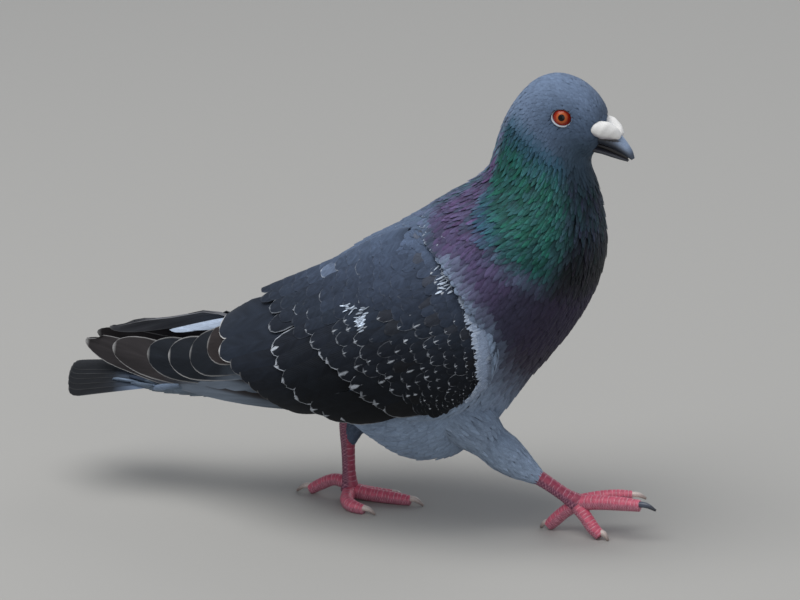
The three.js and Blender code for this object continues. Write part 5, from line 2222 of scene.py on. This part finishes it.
@dataclass(frozen=True)
class Leg:
    """The bare, scaled part of one leg, with its toes and claws."""

    side: Side
    frame: Frame
    scales: Material
    horn: Material

    def build(self) -> None:
        """Builds every part of the leg."""
        parts = LEGS[self.side.word]
        self.scaled("tarsus", parts["tarsus"], 2.6, SHANK_COLOURS)
        for digit in DIGITS:
            self.scaled(f"toe_{digit}", parts[f"toe_{digit}"], 1.9, TOE_COLOURS)
            self.claw(digit, parts[f"claw_{digit}"])

    def scaled(
        self, name: str, line: list[list[float]], period: float, colours: tuple[str, str, str]
    ) -> None:
        """Builds a limb with plates down its front or top and small scales elsewhere.

        Args:
            name: The part's name, without its side.
            line: Its middle line.
            period: Length of a plate.
            colours: Of the plates, the small scales and the creases.
        """
        node = f"{name}_{self.side.word}"
        limb, last = Limb(line), len(line) - 1
        finely = np.linspace(0, last, 200)
        reach = reach_along(limb.middle(finely, finely))

        def pattern(u: Array, v: Array) -> tuple[Array, Array, Array]:
            """How high the plates and the small scales stand, and which of the two a place has."""
            at = np.interp(u, finely, reach) / period
            at = at + 0.14 * np.sin(at * 2.1) + 0.10 * (1 - np.cos(v)) + 0.05 * np.sin(3 * v + at * 1.7)
            plate = 1 - np.abs(2 * (at % 1) - 1) ** 6
            front = fade(np.cos(v), 0.05, 0.35)
            wave = at * math.pi * 1.9
            cells = np.abs(np.sin(wave + 2 * v) * np.sin(wave - 5 * v)) ** 0.35
            return plate, cells, front

        def relief(u: Array, v: Array) -> Array:
            """How far the creases sink into the limb."""
            plate, cells, front = pattern(u, v)
            return 0.22 * (plate - 1) * front + 0.16 * (cells - 1) * (1 - front)

        rows = int(reach[-1] / period * 9)
        mesh, u, v = form_mesh(f"{node}_scales", self.frame, limb, (0, last), rows, 36, relief)
        plate, cells, front = pattern(u, v)
        plate_colour, scale_colour, crease = (linear(colour) for colour in colours)
        mottle = np.sin(2.3 * u * 9 / period + 2 * v) * np.sin(1.1 * u * 9 / period - 3 * v)
        plates = blend(crease, plate_colour, fade(plate + 0.25 * mottle, 0.15, 0.7))
        small = blend(crease * 0.8, scale_colour, fade(cells, 0.3, 0.8))
        paint(mesh, "tint", blend(small, plates, front) * (1 + 0.14 * mottle)[:, None])
        self.stand(mesh)
        finished(mesh, f"{node}_scales", "foot_scales", self.scales, node)

    def stand(self, mesh: Mesh) -> None:
        """Presses a mesh flat where it would reach through the floor."""
        points = np.array([vert.co for vert in mesh.vertices])
        points[:, 2] = np.maximum(points[:, 2], 0.0)
        mesh.vertices.foreach_set("co", points.astype(np.float32).ravel())

    def claw(self, digit: str, line: list[list[float]]) -> None:
        """Builds a claw.

        Args:
            digit: Its toe.
            line: Its middle line.
        """
        node = f"claw_{digit}_{self.side.word}"
        mesh, u, _ = form_mesh(f"{node}_horn", self.frame, Limb(line), (0, len(line) - 1), 24, 20)
        self.stand(mesh)
        base, tip = DARK_CLAW if self.side is Side.RIGHT and digit == "middle" else PALE_CLAW
        paint(mesh, "tint", blend(linear(base), linear(tip), fade(u, 0.6, 2.0)))
        finished(mesh, f"{node}_horn", "claw_horn", self.horn, node)


# ------------------------------------------------------------------ studio


@dataclass(frozen=True)
class Studio:
    """A plain pale floor, soft daylight from above and the camera."""

    frame: Frame
    floor: str = "#a9a7a2"
    target: tuple[float, float, float] = (30.1, -4.2, 104.1)
    distance: float = 3.0
    azimuth: float = 20.0
    elevation: float = 16.0
    lens: float = 290.25

    def build(self) -> None:
        """Lays the floor, hangs the lights and places the camera."""
        self.lay_floor()
        self.light("sky", (-0.5, -0.6, 2.3), 2.2, 52.0)
        self.light("front", (1.2, -2.0, 0.9), 1.4, 6.0)
        self.light("far side", (0.4, 1.8, 1.3), 1.2, 6.0)
        world = bpy.data.worlds.new("studio")
        world.use_nodes = True
        background = world.node_tree.nodes["Background"]
        background.inputs["Color"].default_value = (0.82, 0.88, 1.0, 1.0)
        background.inputs["Strength"].default_value = 0.38
        bpy.context.scene.world = world
        bpy.context.scene.view_settings.view_transform = "Standard"
        self.place_camera()

    def lay_floor(self) -> None:
        """Lays the floor."""
        build = bmesh.new()
        bmesh.ops.create_grid(build, x_segments=1, y_segments=1, size=6.0)
        mesh = bpy.data.meshes.new("floor")
        build.to_mesh(mesh)
        build.free()
        material, tree = new_material("matt painted board")
        place = add_node(tree, "TexCoord").outputs["Object"]
        grain = add_node(tree, "TexNoise", {"Vector": place, "Scale": 160.0, "Detail": 3.0})
        relief = add_node(tree, "Bump", {"Height": grain, "Strength": 0.08, "Distance": 0.5 * MM})
        finish_surface(tree, {"Base Color": rgba(self.floor), "Roughness": 0.85, "Normal": relief})
        mesh.materials.append(material)
        floor = bpy.data.objects.new("floor", mesh)
        bpy.context.scene.collection.objects.link(floor)

    def light(self, name: str, place: tuple[float, float, float], size: float, power: float) -> None:
        """Hangs a soft light that faces the bird.

        Args:
            name: Its name.
            place: Where, in metres.
            size: Its width.
            power: Its power.
        """
        data = bpy.data.lights.new(name, "AREA")
        data.size = size
        data.energy = power
        lamp = bpy.data.objects.new(name, data)
        lamp.location = place
        lamp.rotation_euler = (Vector((0.0, 0.0, 0.1)) - Vector(place)).to_track_quat("-Z", "Y").to_euler()
        bpy.context.scene.collection.objects.link(lamp)

    def place_camera(self) -> None:
        """Places the camera ahead of the bird's right side, a little above it."""
        azimuth, elevation = math.radians(self.azimuth), math.radians(self.elevation)
        level = math.cos(elevation)
        target = Vector(self.frame.place(np.array(self.target)))
        away = Vector((math.sin(azimuth) * level, -math.cos(azimuth) * level, math.sin(elevation)))
        data = bpy.data.cameras.new("camera")
        data.lens = self.lens
        data.sensor_width = 36.0
        camera = bpy.data.objects.new("camera", data)
        camera.location = target + away * self.distance
        camera.rotation_euler = (-away).to_track_quat("-Z", "Y").to_euler()
        bpy.context.scene.collection.objects.link(camera)
        bpy.context.scene.camera = camera


def main() -> None:
    """Builds the bird's looks, piece after piece."""
    logging.basicConfig(level=logging.INFO, format="%(name)s %(levelname)s %(message)s")
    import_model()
    frame = Frame.from_eyes()
    colours = Plumage()
    gloss = FeatherFinish(
        "glossy neck feathers with a metal sheen", pale="#6f8f95", roughness=0.5, metallic=0.3, clump=0.3,
        painted_root_shade=0.75, shade_end=0.86,
    ).make()
    body = FeatherFinish("soft body feathers", pale="#aeb9c8", clump=0.14, painted_root_shade=0.3).make()
    head = FeatherFinish(
        "short dense head feathers", pale="#8fa0b8", clump=0.08, bump=0.08, painted_root_shade=0.04, barb_depth=0.03,
        shaft=0.05,
    ).make()
    materials = {"plumage_head": head, "plumage_neck": gloss, "plumage_trunk": body, "plumage_rump": body}
    wing = FeatherFinish(
        "wing covert feathers", pale="#bcc2ca", roughness=0.65, rim=(0.88, 0.98), tip_rim=(0.96, 0.985),
        specular=0.12, broken=0.14,
    ).make()
    flight = FeatherFinish(
        "flight feathers", pale="#c9c8c6", barbs=60.0, roughness=0.6, painted_root_shade=0.2, rim=(0.93, 0.98),
        tip_rim=(0.982, 0.995), specular=0.12, broken=0.03,
    ).make()
    Skin(frame, colours, SkinFinish().make()).build()
    BodyCoat(frame, colours, materials).build()
    horn = GrainFinish("bill horn", grain_mm=0.5, roughness=0.42, coat=0.2).make()
    chalk = GrainFinish("chalky cere skin", grain_mm=0.35, roughness=0.8, grain_depth=0.08).make()
    iris = IrisFinish().make()
    scales = GrainFinish("leg scales", grain_mm=0.4, roughness=0.45, coat=0.15).make()
    claws = GrainFinish("claw horn", grain_mm=0.6, roughness=0.35, coat=0.3).make()
    for side in Side:
        WingCoat(side, frame, colours, wing, flight).build()
        PadCoat(side, frame, colours, body).build()
        ThighCoat(side, frame, body).build()
        Eye(side, frame, iris, chalk).build()
        Leg(side, frame, scales, claws).build()
    TailCoat(frame, flight).build()
    Bill(frame, horn, chalk).build()
    Studio(frame).build()


if __name__ == "__main__":
    main()
